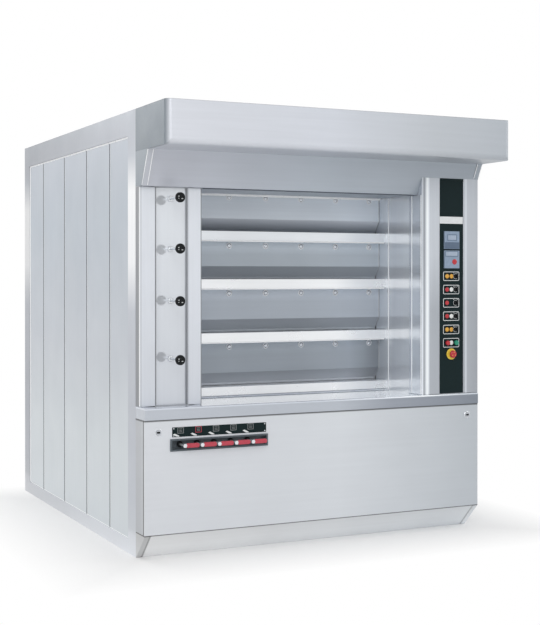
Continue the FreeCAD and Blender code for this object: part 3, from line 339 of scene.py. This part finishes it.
FINISHES |= {
    "black": moulded("black_paint", (17, 34, 36), 0.4, 0.06, 0.12),
    "tray": moulded("tray_paint", (86, 94, 100), 0.5, 0.08, 0.3),
    "knob": moulded("knob_plastic", (16, 20, 22), 0.35, 0.08, 0.2),
    # White for beads and washers that paint highlights along edges and round bolts
    "painted_highlight": moulded("painted_highlight", (253, 254, 255), 0.3, 0.02),
    # Dark beads along joints and flange edges: painted shade
    "shaded_joint": moulded("seam_shadow", (92, 98, 106), 0.6, 0.08, 0.1),
    "grey_seam": moulded("seam_grey", (158, 163, 170), 0.6, 0.08, 0.1),
    "amber": moulded("amber_lens", (214, 160, 62), 0.15, 0.08, 0.3, 0.2),
    "red": moulded("red_lens", (186, 48, 56), 0.15, 0.08, 0.3, 0.2),
    "white": moulded("white_lens", (228, 230, 228), 0.2, 0.05, 0.4, 0.2),
    "print": moulded("white_print", (222, 225, 226), 0.6, 0.04),
    "green": moulded("green_cap", (30, 140, 112), 0.25),
    "yellow": moulded("yellow_ring", (232, 200, 70), 0.35),
    "sleeve": moulded("red_sleeve", (186, 62, 78), 0.4),
    "light_blue": moulded("controller_blue", (136, 154, 176), 0.35),
    "deep_blue": moulded("controller_keys", (84, 102, 124), 0.35),
    "glass": moulded("display_glass", (160, 174, 192), 0.2, 0.05, 0.3, 0.2),
    "pictogram": moulded("grey_print", (138, 141, 142), 0.6),
    "stone": moulded("hearth_stone", (150, 140, 126), 0.85, 0.15),
    "wool": moulded("mineral_wool", (190, 178, 140), 0.95, 0.2),
}
DRESS = {
    "boards": ["side_boards"], "posts": ["side_frames", "base_frame"], "hood": ["hood_canopy"],
    "slope": ["hood_slope"], "left_column": ["left_column"], "right_column": ["right_column"],
    "mirror": ["damper_panel"], "wall": ["mouth_jambs"], "sill": ["deck_sills"], "counter": ["counter_top"],
    "panel": ["service_panel"], "toe": ["toe_kick"], "black": ["control_panel"], "tray": ["valve_tray"],
    "stone": ["hearth_stones"], "wool": ["insulation"], "rear": ["rear_panel"], "roof": ["roof_panel"],
    "duct": ["baking_chambers", "heat_channels", "vapour_duct"],
    "lock": ["panel_lock_left", "panel_lock_right"],
    "rod": ["damper_bushes", *(f"{kind}_{deck}" for kind in ("damper_rod", "door_pivot") for deck in DECKS)],
    "knob": [*(f"damper_knob_{deck}" for deck in DECKS), *(f"selector_knob_{place}" for place in FIVE)],
    "sleeve": [f"valve_lever_{place}" for place in FIVE],
    "amber": ["amber_lamps"], "red": ["red_lamps", "stop_button", "emergency_button"],
    "white": ["white_lamps"], "green": ["start_button"], "yellow": ["emergency_ring"],
    "light_blue": ["controllers"], "brass": ["steam_valves"],
}
# Tones of each door's foot, bend and leaf, and the greys across it: painted light and shade on one steel,
# the top door painted much lighter than the others, and the greys shading each door across its width
DOOR_LIGHT_TONES = {1: ((148, 154, 162), (236, 241, 249), (237, 245, 254)),
              2: ((169, 175, 183), (162, 169, 177), (186, 195, 204)),
              3: ((175, 182, 190), (169, 175, 184), (185, 193, 203)),
              4: ((193, 199, 208), (170, 176, 184), (166, 174, 183))}
DOOR_SHADE_GREYS = {1: [(-0.638, 228), (-0.23, 225), (0.125, 235), (0.405, 249), (0.606, 255)],
              2: [(-0.638, 238), (-0.23, 230), (0.125, 235), (0.405, 248), (0.606, 254)],
              3: [(-0.638, 238), (-0.23, 230), (0.125, 235), (0.405, 248), (0.606, 250)],
              4: [(-0.638, 241), (-0.23, 229), (0.125, 235), (0.405, 255), (0.5, 236), (0.56, 214),
                  (0.606, 205)]}
BEND, LEAF, TOP_BAND, TOP_LIGHT_GAIN = 0.057, 0.063, 0.07, 1.17
for deck, (foot_tone, bend_tone, leaf_tone) in DOOR_LIGHT_TONES.items():
    low, high = (float(corner[2]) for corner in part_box(f"deck_door_{deck}"))
    # The leaf is lightened towards its top by this gain: painted light against the shade under the sill above
    lit_top_tone = [min(TOP_LIGHT_GAIN, 255 / max(leaf_tone)) * part for part in leaf_tone]
    door_tones = [(low, foot_tone), (low + BEND, bend_tone), (low + LEAF, leaf_tone),
                  (high - TOP_BAND, leaf_tone), (high, lit_top_tone)]
    FINISHES[f"door_{deck}"] = sheet(f"door_steel_{deck}", "Z", door_tones, ACROSS, 0.3, 0.42, 0.02, 0,
                                     also=[("X", DOOR_SHADE_GREYS[deck])])
    DRESS[f"door_{deck}"] = [f"deck_door_{deck}"]
for finish, names in DRESS.items():
    for name in names:
        nodes[name].data.materials.clear()
        nodes[name].data.materials.append(FINISHES[finish])


# Surfaces; the shapes take mm and give the points, in metres, and the faces of one closed surface

SMALLEST_CORNER = 0.05
SHARP_ANGLE = radians(35)


def strips(rows, columns, ring_rows=False):
    """Four-sided faces between neighbouring points of a grid whose columns go round; its rows may too."""
    row, column = np.meshgrid(np.arange(rows if ring_rows else rows - 1), np.arange(columns), indexing="ij")
    below, beside = (row + 1) % rows, (column + 1) % columns
    corners = [row * columns + column, row * columns + beside, below * columns + beside,
               below * columns + column]
    return np.stack(corners, axis=-1).reshape(-1, 4).tolist()


def capped(points):
    """Surface through a stack of rings, with a flat face over the first ring and over the last."""
    rows, columns, _ = points.shape
    faces = strips(rows, columns)
    faces += [list(range(columns - 1, -1, -1)), list(range((rows - 1) * columns, rows * columns))]
    return points.reshape(-1, 3), faces


def looped(points):
    """Surface through a stack of rings, with the last ring joined to the first."""
    return points.reshape(-1, 3), strips(*points.shape[:2], ring_rows=True)


def spun(place, profile, count=36, ring=False):
    """Turned piece about a Y axis: each (distance ahead, radius) of the profile is carried round a circle;
    a ring has its last circle joined to its first."""
    ahead, radius = np.array(profile, float).T[:, :, None] / 1000
    angle = np.linspace(0, 2 * np.pi, count, endpoint=False)[None, :]
    x, y, z = np.array(place) / 1000
    sides = [x + radius * np.cos(angle), y - ahead + 0 * angle, z + radius * np.sin(angle)]
    points = np.stack(sides, axis=-1)
    return looped(points) if ring else capped(points)


def rounded(width, height, corner, count=6):
    """Outline of a rectangle about zero with round corners: a quarter circle at each corner, in turn."""
    angle = np.linspace(0, np.pi / 2, count)[None, :] + np.arange(4)[:, None] * np.pi / 2
    across = (width / 2 - corner) * np.array([1, -1, -1, 1])[:, None] + corner * np.cos(angle)
    up = (height / 2 - corner) * np.array([1, 1, -1, -1])[:, None] + corner * np.sin(angle)
    return np.stack([across.ravel(), up.ravel()], axis=-1)


def outlines(place, width, height, corner, section):
    """Stack of round-cornered outlines: one for each (trim all round, distance ahead) of a section."""
    rings = []
    for trim, ahead in section:
        flat = rounded(width - 2 * trim, height - 2 * trim, max(corner - trim, SMALLEST_CORNER))
        rings.append(np.insert(flat, 1, -ahead, axis=1))
    return (np.array(rings) + np.array(place, float)) / 1000


def slab(place, width, height, thick, corner, soft):
    """Plate that stands on an upright plane: a round-cornered outline carried forward, drawn in over its
    soft edge by a quarter circle."""
    turn = np.linspace(0, np.pi / 2, 4)
    trims = np.concatenate([[0], soft * (1 - np.cos(turn))])
    ahead = np.concatenate([[0], thick - soft + soft * np.sin(turn)])
    return capped(outlines(place, width, height, corner, zip(trims, ahead)))


def hoop(place, width, height, line, thick, corner):
    """Printed outline: a small square section carried round a round-cornered rectangle."""
    section = ((0, 0), (0, thick), (line, thick), (line, 0))
    return looped(outlines(place, width, height, corner, section))


def tablet(place, corners, thick):
    """Flat shape on an upright plane: a list of (across, up) corners carried forward by its thickness."""
    flat = np.insert(np.array(corners, float), 1, 0, axis=1)
    return capped((np.array([flat, flat - (0, thick, 0)]) + np.array(place, float)) / 1000)


def bead(start, stop, radius, count=10):
    """Round bar between two points: a circle square to the line, narrowed at both ends."""
    start, stop = np.array(start, float), np.array(stop, float)
    line = (stop - start) / np.linalg.norm(stop - start)
    side = np.cross(line, (0.31, 0.52, 0.79))
    side /= np.linalg.norm(side)
    other = np.cross(line, side)
    angle = np.linspace(0, 2 * np.pi, count, endpoint=False)[:, None]
    circle = np.cos(angle) * side + np.sin(angle) * other
    stations = ((start, 0.5), (start + line * radius / 2, 1), (stop - line * radius / 2, 1), (stop, 0.5))
    return capped(np.array([centre + circle * radius * share for centre, share in stations]) / 1000)


def piece(name, parts, finish, body="oven", stands_for=()):
    """Object made of closed surfaces, with its finish, its body and the CAD nodes that it stands for; a
    surface whose volume comes out negative is turned outward."""
    points, faces, start = [], [], 0
    for part_points, part_faces in parts:
        first, second, third = (part_points[[face[corner] for face in part_faces]] - part_points.mean(axis=0)
                                for corner in range(3))
        inside_out = np.einsum("ij,ij->i", first, np.cross(second, third)).sum() < 0
        faces += [[start + corner for corner in (face[::-1] if inside_out else face)] for face in part_faces]
        points.append(part_points)
        start += len(part_points)
    mesh = bpy.data.meshes.new(name)
    mesh.from_pydata(np.concatenate(points).tolist(), [], faces)
    mesh.shade_smooth()
    mesh.set_sharp_from_angle(angle=SHARP_ANGLE)
    mesh.materials.append(FINISHES[finish])
    thing = bpy.data.objects.new(name, mesh)
    bpy.context.collection.objects.link(thing)
    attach(thing, body)
    if stands_for:
        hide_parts(*stands_for)


def middle(name):
    """Middle of a CAD node's box in mm."""
    low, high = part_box(name)
    return [float(low[axis] + high[axis]) * 500 for axis in range(3)]


def edge(name, axis, high):
    """Low or high side of a CAD node's box along one axis, in mm."""
    return float(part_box(name)[high]["xyz".index(axis)]) * 1000


# Softened edges of the folded sheet pieces

SOFT_EDGES = {"left_column": 3.0, "right_column": 6.0, "toe_kick": 2.0}
for name, width in SOFT_EDGES.items():
    weld = nodes[name].modifiers.new("weld", "WELD")
    weld.merge_threshold = 0.000001
    soft_edge = nodes[name].modifiers.new("soft_edge", "BEVEL")
    soft_edge.width = width / 1000
    soft_edge.segments = 3
    soft_edge.limit_method = "ANGLE"
    soft_edge.angle_limit = radians(40)
    soft_edge.harden_normals = True

# Dampers

KNOB = [(0, 8), (0, 12), (3, 17), (9, 24), (12, 25), (19, 25), (21.5, 24), (22, 22.5), (20.5, 21), (20.5, 8),
        (22.5, 7), (23, 5)]
COLLAR = [(0, 14), (2, 14), (4, 12), (4, 7), (0, 7)]
KNOB_FACE = 20.4
collars, bush_front = [], edge("damper_bushes", "y", 0)
for deck in DECKS:
    x, _, z = middle(f"damper_knob_{deck}")
    back = edge(f"damper_knob_{deck}", "y", 1)
    mark = back - KNOB_FACE
    piece(f"damper_grip_{deck}", [spun((x, back, z), KNOB)], "knob", f"damper_{deck}",
          [f"damper_knob_{deck}"])
    piece(f"damper_mark_{deck}", [slab((x - 5, mark, z + 5), 13, 3.4, 0.6, 1, 0.2),
                                  slab((x + 9, mark, z - 6), 9, 3.0, 0.6, 1, 0.2),
                                  slab((x - 9, mark, z - 5), 3.6, 3.6, 0.6, 1.2, 0.2)],
          "print", f"damper_{deck}")
    collars.append(spun((x, bush_front + 1, z), COLLAR, 28, True))
piece("damper_collars", collars, "bright", "oven")

# Door bolts, hems and rims

BOLT_HEAD = [(0, 12.4), (1.6, 12.4), (4.2, 11.2), (6.2, 8.6), (7.0, 6.0), (7.2, 2.0)]
WASHER = [(0, 16.5), (2.0, 16.5), (3.2, 15.2), (3.2, 13.2), (0, 12.8)]
PIN, FIRST_BOLT, LAST_BOLT, BOLT_COUNT = 14, 94, 66, 6
HEM_BEADS = ((-0.5, 4.5), (-6.2, 3.4))
RIM, RIM_OUT, BEND_HEIGHT = 1.5, 0.9, 60
for deck in DECKS:
    door, pivot, body = f"deck_door_{deck}", f"door_pivot_{deck}", f"door_{deck}"
    front, lip = edge(door, "y", 0), edge(door, "y", 1) - RIM
    left, right = edge(door, "x", 0), edge(door, "x", 1)
    foot, head = edge(door, "z", 0), edge(door, "z", 1)
    first = edge(pivot, "x", 0) + PIN + FIRST_BOLT
    last = edge(pivot, "x", 1) - PIN - LAST_BOLT
    level = middle(pivot)[2]
    places = [(x, front, level) for x in np.linspace(first, last, BOLT_COUNT)]
    piece(f"door_bolts_{deck}", [spun(place, BOLT_HEAD, 20) for place in places], "rod", body)
    # White washers paint a bright rim round each bolt head
    piece(f"door_washers_{deck}", [spun(place, WASHER, 24, True) for place in places], "painted_highlight", body)
    piece(f"door_hem_{deck}", [bead((left - 1, lip, foot + drop), (right + 1, lip, foot + drop), radius)
                               for drop, radius in HEM_BEADS], body, body)
    rim_front, bend, sides = front + RIM, foot + BEND_HEIGHT, (left - RIM_OUT, right + RIM_OUT)
    rims = [bead((x, rim_front, bend), (x, rim_front, head - 2), RIM) for x in sides]
    rims += [bead((x, lip, foot), (x, rim_front, bend), RIM) for x in sides]
    piece(f"door_rims_{deck}", rims, "bright", body)

# Control column

face = edge("control_panel", "y", 0)
column_front = edge("right_column", "y", 0)
panel_x = middle("controllers")[0]
TOP_LEVEL, LEVEL_STEP, LAMP_LEFT = 1380.0, 72.2, -28
LEVELS = [TOP_LEVEL - LEVEL_STEP * row for row in range(6)]
LENS = [(0, 12.5), (2.5, 12.5), (5, 10.5), (6.5, 7), (7, 2)]
BIG_LENS, BIG_LENS_SHIFT, BIG_LENS_LEVEL = [(0, 15), (1.5, 15), (3.5, 12), (4.2, 6), (4.4, 2)], 16, 1458
BEZEL = [(0, 13.9), (2, 13.9), (3, 13.2), (3, 12.4), (0, 12.4)]
# Row and sideways shift of each lamp
LAMPS = {"amber": [(0, LAMP_LEFT), (0, 0), (4, LAMP_LEFT), (4, 0)],
         "red": [(1, LAMP_LEFT), (2, LAMP_LEFT), (3, LAMP_LEFT)], "white": [(1, 0), (3, 0), (5, 0)]}
bezels = []
for colour, spread in LAMPS.items():
    places = [(panel_x + shift, face, LEVELS[row]) for row, shift in spread]
    lenses = [spun(place, LENS, 24) for place in places]
    bezels += [spun(place, BEZEL, 24, True) for place in places]
    if colour == "red":
        lenses.append(spun((panel_x + BIG_LENS_SHIFT, face - 8, BIG_LENS_LEVEL), BIG_LENS, 28))
    piece(f"{colour}_lenses", lenses, colour, "oven", [f"{colour}_lamps"])
piece("lamp_bezels", bezels, "knob", "oven")
DISC = [(0, 13), (3, 13), (4, 12), (13, 11), (14, 10), (14, 3)]
DIAL = [(0, 15), (1.2, 15), (1.2, 13.4), (0, 13.4)]
legends = []
for place in FIVE:
    x, _, z = middle(f"selector_knob_{place}")
    grip = slab((x, face - 13, z), 6, 23, 7, 2.5, 1.5)
    piece(f"selector_grip_{place}", [spun((x, face, z), DISC, 28), grip], "knob", f"selector_{place}",
          [f"selector_knob_{place}"])
    piece(f"selector_mark_{place}", [slab((x, face - 19.4, z + 4), 2.6, 12, 0.6, 0.8, 0.2)], "print",
          f"selector_{place}")
    legends += [slab((x + shift, face, z + 17.5), 6, 3, 0.5, 1, 0.2) for shift in (-11.5, 11.5)]
    legends.append(spun((x, face, z), DIAL, 28, True))
piece("selector_legends", legends, "print", "oven")
SHAFT = [(-3.9, -3.9), (3.9, -3.9), (3.9, 3.9), (-3.9, 3.9)]
SHAFT_BACK = 12
CAP = [(0, 5), (0, 12), (1.5, 13), (9, 13), (11.5, 12), (12, 9), (11.4, 2)]
for name, colour in (("stop", "red"), ("start", "green")):
    x, _, z = middle(f"{name}_button")
    piece(f"{name}_cap", [spun((x, face - 5, z), CAP, 28), tablet((x, face + SHAFT_BACK, z), SHAFT, 18)],
          colour, name, [f"{name}_button"])
x, _, z = middle("emergency_ring")
PLATE = [(0, 30), (3, 30), (5, 28), (5, 6.2), (0, 6.2)]
MUSHROOM = [(0, 8), (0, 16), (2, 20), (6, 20.5), (10, 18.5), (13, 14), (14.5, 8), (14.8, 2)]
piece("emergency_plate", [spun((x, face, z), PLATE, 40, True)], "yellow", "oven",
      ["emergency_ring"])
piece("emergency_head", [spun((x, face - 15, z), MUSHROOM, 36), tablet((x, face + SHAFT_BACK, z), SHAFT, 28)],
      "red", "emergency", ["emergency_button"])
spokes = np.radians((90, 210, 330))
arrows = [tablet((x + 10 * np.cos(turn), face - 28, z + 10 * np.sin(turn)),
                 [(3 * np.cos(turn + swing), 3 * np.sin(turn + swing)) for swing in spokes - spokes[0]], 1.4)
          for turn in spokes]
piece("emergency_marks", arrows, "yellow", "emergency")
piece("legend_frames", [hoop((panel_x, face, level), 103, 50, 3.2, 0.6, 7) for level in LEVELS], "print",
      "oven")
PANEL_HEAD_LEVEL, BAND_LEVEL = 1902, 1683.5
piece("panel_head", [slab((panel_x, column_front, PANEL_HEAD_LEVEL), 152, 14, 0.8, 0.3, 0.1)], "black", "oven")
piece("blank_band", [slab((panel_x, face, BAND_LEVEL), 150, 38, 1.2, 1, 0.4)], "print", "oven")

# Controllers

front = edge("controllers", "y", 0)
HALF_PITCH = 52
upper, lower = middle("controllers")[2] + HALF_PITCH, middle("controllers")[2] - HALF_PITCH
upper_display, lower_display = (panel_x, front, upper + 14), (panel_x - 2, front, lower + 30)
piece("controller_keys", [slab((panel_x, front, upper - 29), 92, 36, 1.2, 2, 0.5)], "deep_blue", "oven")
displays = [slab(upper_display, 52, 24, 1.4, 2, 0.6), slab(lower_display, 74, 22, 1.4, 2, 0.6)]
piece("controller_displays", displays, "glass", "oven")
display_lines = [hoop(upper_display, 62, 34, 2.4, 0.8, 4), hoop(lower_display, 82, 30, 2.2, 0.8, 4)]
piece("controller_lines", display_lines, "deep_blue", "oven")

# Water valves and the label strip over them

panel = edge("service_panel", "y", 0)
LABEL_X, LABEL_LEVEL, LABEL_THICK = -572, 621, 1.6
MARK_LEVEL, PENNANT_LEVEL, RED_MARK = 629, 606, 4
MARK_ENDS, PENNANT_ENDS = (-781, -406), (-806, -434)
RIVET_SIDES, RIVET_LEVELS = (-817, -327), (603.5, 638.5)
label_face = panel - LABEL_THICK
piece("label_strip", [slab((LABEL_X, panel, LABEL_LEVEL), 506, 48, LABEL_THICK, 2, 0.6)], "black", "oven")
marks = []
for x in np.linspace(*MARK_ENDS, 5):
    marks.append(hoop((x, label_face, MARK_LEVEL), 32, 30, 2.2, 0.5, 2))
    marks += [slab((x, label_face, MARK_LEVEL + step), 17, 2.0, 0.5, 0.8, 0.2) for step in (-7, 0, 7)]
red_mark = marks.pop(RED_MARK)
piece("label_marks", marks, "pictogram", "oven")
piece("label_mark_red", [red_mark], "sleeve", "oven")
RIVET = [(0, 3.2), (0.8, 3.0), (1.4, 1.8), (1.6, 0.6)]
piece("label_rivets", [spun((x, label_face, z), RIVET, 16) for x in RIVET_SIDES for z in RIVET_LEVELS],
      "bright", "oven")
PENNANT = [(-16, 4), (-6, 8), (16, -2), (18, -7), (2, -6)]
pennants = [tablet((x, label_face, PENNANT_LEVEL), PENNANT, 0.5) for x in np.linspace(*PENNANT_ENDS, 5)]
piece("label_pennants", pennants, "print", "oven")
BAR_THICK = 6
lever_face = edge("valve_lever_1", "y", 0) + BAR_THICK
tray_face = panel + 30
GLAND = [(0, 15), (8, 15), (10, 13), (10, 6.6), (0, 6.6)]
NUT = [(0, 11), (9, 11), (11.5, 8), (11.5, 3)]
stems = {place: anchors[f"valve_{place}"] for place in FIVE}
piece("stem_glands", [spun((x, tray_face, z), GLAND, 24, True) for x, _, z in stems.values()], "knob", "oven")
for place, (x, _, z) in stems.items():
    name = f"valve_lever_{place}"
    back = edge(name, "y", 1)
    stem = spun((x, back, z), [(0, 6), (back - lever_face + 1, 6)], 20)
    nut = spun((x, lever_face + BAR_THICK, z), NUT, 6)
    bar = slab((x + 33, lever_face + BAR_THICK, z), 83, 17, BAR_THICK, 8, 1.5)
    sleeve = slab((x + 41, lever_face + 7.5, z), 70, 22, 11, 9, 4.5)
    piece(f"lever_steel_{place}", [stem, nut, bar], "bright", f"valve_{place}", [name])
    piece(f"lever_sleeve_{place}", [sleeve], "sleeve", f"valve_{place}")

# Locks

LOCK_X, LOCK_LEVEL = {"left": -897, "right": 897}, 624
LOCK_RING = [(0, 18.5), (2, 18.5), (3.4, 16.8), (3.4, 14.4), (0, 14.4)]
lock_front = edge("panel_lock_left", "y", 0)
piece("lock_rings", [spun((x, panel, LOCK_LEVEL), LOCK_RING, 32, True) for x in LOCK_X.values()], "bright",
      "oven")
for side, x in LOCK_X.items():
    piece(f"lock_key_{side}", [slab((x, lock_front, LOCK_LEVEL), 17, 9, 0.8, 3, 0.3)], "knob", f"lock_{side}")

# Seams and trims: white beads paint highlights and dark beads paint shade along edges and joints

WALL_THICK, WALL_FOOT, COLUMN_FOOT, MOUTH_HEAD = 20, 746, 745, 1816
MOUTH_TOP, MOUTH_LEFT = 1819, -638
CEILING_REAR, CEILING_FRONT = -549, -905
HEM_Y, SEAM_Y, SEAM_LEVEL = -590.5, -595.5, 747.5
# White beads up the right wall of the mouth and the control box: painted highlights along its edges and seams
WALL_HIGHLIGHTS = (-633, -876, -968)
wall = edge("mouth_jambs", "x", 1) - WALL_THICK
piece("wall_highlight_lines", [bead((wall, y, WALL_FOOT), (wall, y, MOUTH_HEAD), 2.6) for y in WALL_HIGHLIGHTS], "painted_highlight")
BOARD_SHARES = [0.1596, 0.2114, 0.2262, 0.2373]
board_face = edge("side_boards", "x", 1)
post_inner, rear_inner = edge("side_boards", "y", 0), edge("side_boards", "y", 1)
foot, head = edge("side_boards", "z", 0), edge("side_boards", "z", 1)
board_joints = post_inner + (rear_inner - post_inner) * np.cumsum(BOARD_SHARES)
seam_shade_lines, highlight_lines = [], []
for side in (-1, 1):
    x = side * (board_face - 1.5)
    seam_shade_lines += [bead((x, y - 1, foot + 2), (x, y - 1, head - 2), 4.0) for y in board_joints]
    highlight_lines += [bead((x, y - 8, foot + 2), (x, y - 8, head - 2), 2.5) for y in board_joints]
    highlight_lines += [bead((x, post_inner + 4, head - 4), (x, rear_inner - 4, head - 4), 5),
                     bead((x, rear_inner - 5, foot + 3), (x, rear_inner - 5, head - 3), 5.5),
                     bead((x, post_inner + 4, foot + 3), (x, rear_inner - 4, foot + 3), 2.5)]
# Dark beads on the board joints: real joints drawn with painted shade. White beads beside them, along the top
# and foot and at the rear edge: painted highlights
piece("board_seams", seam_shade_lines, "shaded_joint", "oven")
piece("board_highlight_beads", highlight_lines, "painted_highlight", "oven")
# White beads along the edges of the slope's end strips paint their highlights; on the right only the part
# above the column's top is drawn
SLOPE_FOOT, SLOPE_HEAD, RIGHT_START = np.array((-932.5, 1822)), np.array((-1020, 1988)), 0.56
SLOPE_INNER, SLOPE_OUTER = 936, 964.5
right_foot = SLOPE_FOOT + RIGHT_START * (SLOPE_HEAD - SLOPE_FOOT)
slope_highlight_lines = [bead((x, *SLOPE_FOOT), (x, *SLOPE_HEAD), 2.2) for x in (-SLOPE_OUTER, -SLOPE_INNER)]
slope_highlight_lines += [bead((x, *right_foot), (x, *SLOPE_HEAD), 2.2) for x in (SLOPE_INNER, SLOPE_OUTER)]
piece("slope_highlight_beads", slope_highlight_lines, "painted_highlight")
# White bead up the left column's front edge: a painted highlight
COLUMN_EDGE = (-964.6, -898.2)
piece("column_highlight_bead", [bead((*COLUMN_EDGE, COLUMN_FOOT), (*COLUMN_EDGE, MOUTH_HEAD), 2.2)], "painted_highlight")


def crossing(y, z, radius):
    """Round bar across the deck mouth, 2 mm short of both walls."""
    return bead((MOUTH_LEFT + 2, y, z), (wall - 2, y, z), radius)


# Across the top of the mouth: a white bead paints a highlight on the lintel over the top door, and a dark bead
# paints the shadow under the hood's return flange
piece("ceiling_highlight_bead", [crossing(CEILING_REAR, MOUTH_TOP - 3, 9)], "painted_highlight")
piece("ceiling_shadow_line", [crossing(CEILING_FRONT, MOUTH_TOP, 4.5)], "shaded_joint")
sill_feet = [edge(f"deck_door_{deck}", "z", 1) + 4 for deck in (2, 3, 4)]
# White beads under the sills: real rolled hems, painted white as highlights
piece("sill_hems", [crossing(HEM_Y, foot - 3.5, 4) for foot in sill_feet], "painted_highlight")
piece("sill_seam", [crossing(SEAM_Y, SEAM_LEVEL, 2.2)], "grey_seam")

# Rear panel with its burner flange, and the ribs of the rear panel and the roof

REAR, ROOF, ROOF_FRONT, ROOF_REAR = 1240, 2200, -560, 1180
SCREW = [(0, 8), (-1.5, 8), (-3.5, 6), (-4.5, 2)]
SCREW_SIDES, SCREW_LEVELS, SIDE_LEVELS = (-880, 880), (110, 2150), (450, 1810)
border = [(x, z) for x in np.linspace(*SCREW_SIDES, 7) for z in SCREW_LEVELS]
border += [(x, z) for x in SCREW_SIDES for z in np.linspace(*SIDE_LEVELS, 5)]
piece("rear_screws", [spun((x, REAR, z), SCREW, 18) for x, z in border], "rod", "oven")
FLANGE = [(0, 112), (-6, 112), (-9, 109), (-9, 74), (-6, 71), (0, 71)]
BURNER_BOLT = [(0, 9), (-5, 9), (-7, 7), (-7, 2)]
BURNER_LEVEL, BOLT_CIRCLE, FLANGE_THICK = 420, 91, 9
piece("burner_flange", [spun((0, REAR, BURNER_LEVEL), FLANGE, 48, True)], "rear", "oven")
turns = np.linspace(0, 2 * np.pi, 6, endpoint=False)
rises = BURNER_LEVEL + BOLT_CIRCLE * np.sin(turns)
bolts = [spun((x, REAR + FLANGE_THICK, z), BURNER_BOLT, 6) for x, z in zip(BOLT_CIRCLE * np.cos(turns), rises)]
piece("burner_bolts", bolts, "rod", "oven")
RIB_FEET, RIB_HEAD = {-440: 150, 0: 560, 440: 150}, 2110
piece("rear_ribs", [bead((x, REAR, foot), (x, REAR, RIB_HEAD), 5) for x, foot in RIB_FEET.items()], "rear",
      "oven")
piece("roof_ribs", [bead((x, ROOF_FRONT, ROOF), (x, ROOF_REAR, ROOF), 4) for x in (-480, 480)], "roof", "oven")

# Floor, light and camera


def seen_directly(tree):
    """One for rays from the camera, from mirror-like faces and through glass, nought for the others."""
    rays = node(tree, "ShaderNodeLightPath").outputs
    seen = maths(tree, "MAXIMUM", rays["Is Camera Ray"], rays["Is Glossy Ray"])
    return maths(tree, "MAXIMUM", seen, rays["Is Transmission Ray"])


def lamp(name, place, target, size, power):
    """Soft square lamp that faces a target."""
    light = bpy.data.lights.new(name, "AREA")
    light.size = size
    light.energy = power
    holder = bpy.data.objects.new(name, light)
    bpy.context.collection.objects.link(holder)
    holder.location = place
    holder.rotation_euler = (Vector(target) - Vector(place)).to_track_quat("-Z", "Y").to_euler()


WHITE = (1, 1, 1, 1)
FLOOR_REACH = 40
floor_mesh = bpy.data.meshes.new("studio_floor")
floor_corners = [(x * FLOOR_REACH, y * FLOOR_REACH, 0) for x, y in ((-1, -1), (1, -1), (1, 1), (-1, 1))]
floor_mesh.from_pydata(floor_corners, [], [(0, 1, 2, 3)])
floor = bpy.data.objects.new("studio_floor", floor_mesh)
bpy.context.collection.objects.link(floor)
floor_paint, tree, surface = fresh("floor_paint")
mottle = varied(tree, EVEN, 0.4, 0.99, 1.01)
tree.links.new(tinted(tree, (0.9, 0.9, 0.9, 1), mottle), surface.inputs["Base Color"])
surface.inputs["Roughness"].default_value = 0.9
surface.inputs["Specular IOR Level"].default_value = 0.0
# The floor passes into white with the distance from the oven's sides, for rays that see it directly
HALF_WIDTH, HALF_DEPTH, FADE_LENGTH = 0.967, 0.9, 0.55
away = node(tree, "ShaderNodeVectorMath", {"operation": "ABSOLUTE"}, Vector=place_on(tree)).outputs[0]
away = node(tree, "ShaderNodeSeparateXYZ", Vector=away).outputs
far = maths(tree, "MAXIMUM", maths(tree, "SUBTRACT", away[0], HALF_WIDTH),
            maths(tree, "SUBTRACT", away[1], HALF_DEPTH))
share = maths(tree, "MULTIPLY", seen_directly(tree), ramp(tree, far, 0.0, FADE_LENGTH, 0.0, 1.0))
glow = node(tree, "ShaderNodeEmission", Color=WHITE, Strength=1.0)
mix = node(tree, "ShaderNodeMixShader", Fac=share)
tree.links.new(surface.outputs[0], mix.inputs[1])
tree.links.new(glow.outputs[0], mix.inputs[2])
tree.links.new(mix.outputs[0], found(tree, "OUTPUT_MATERIAL").inputs[0])
floor.data.materials.append(floor_paint)

scene = bpy.context.scene
SKY_LIGHT = 0.7
world = bpy.data.worlds.new("studio_world")
scene.world = world
world.use_nodes = True
tree = world.node_tree
tree.nodes.clear()
brightness = ramp(tree, seen_directly(tree), 0.0, 1.0, SKY_LIGHT, 1.0)
sky = node(tree, "ShaderNodeBackground", Color=WHITE, Strength=brightness)
tree.links.new(sky.outputs[0], node(tree, "ShaderNodeOutputWorld").inputs[0])
LIGHT_TARGET, LIGHT_SIZE = (0, 0, 1.0), 4.0
lamp("front_lamp", (-3.0, -7.0, 5.0), LIGHT_TARGET, LIGHT_SIZE, 150)
lamp("side_lamp", (6.0, -3.0, 4.5), LIGHT_TARGET, LIGHT_SIZE, 60)
lamp("back_lamp", (-3.0, 6.0, 5.0), LIGHT_TARGET, LIGHT_SIZE, 120)

camera = bpy.data.cameras.new("photo_camera")
camera.sensor_width = 36.0
camera.lens = 71.37
camera.shift_y = -0.0476
camera.clip_end = 100
viewer = bpy.data.objects.new("photo_camera", camera)
bpy.context.collection.objects.link(viewer)
viewer.location = (-3.008, -6.604, 1.382)
viewer.rotation_euler = (radians(90 - 0.32), 0.0, radians(-25.72))
scene.camera = viewer
scene.view_settings.view_transform = "Standard"
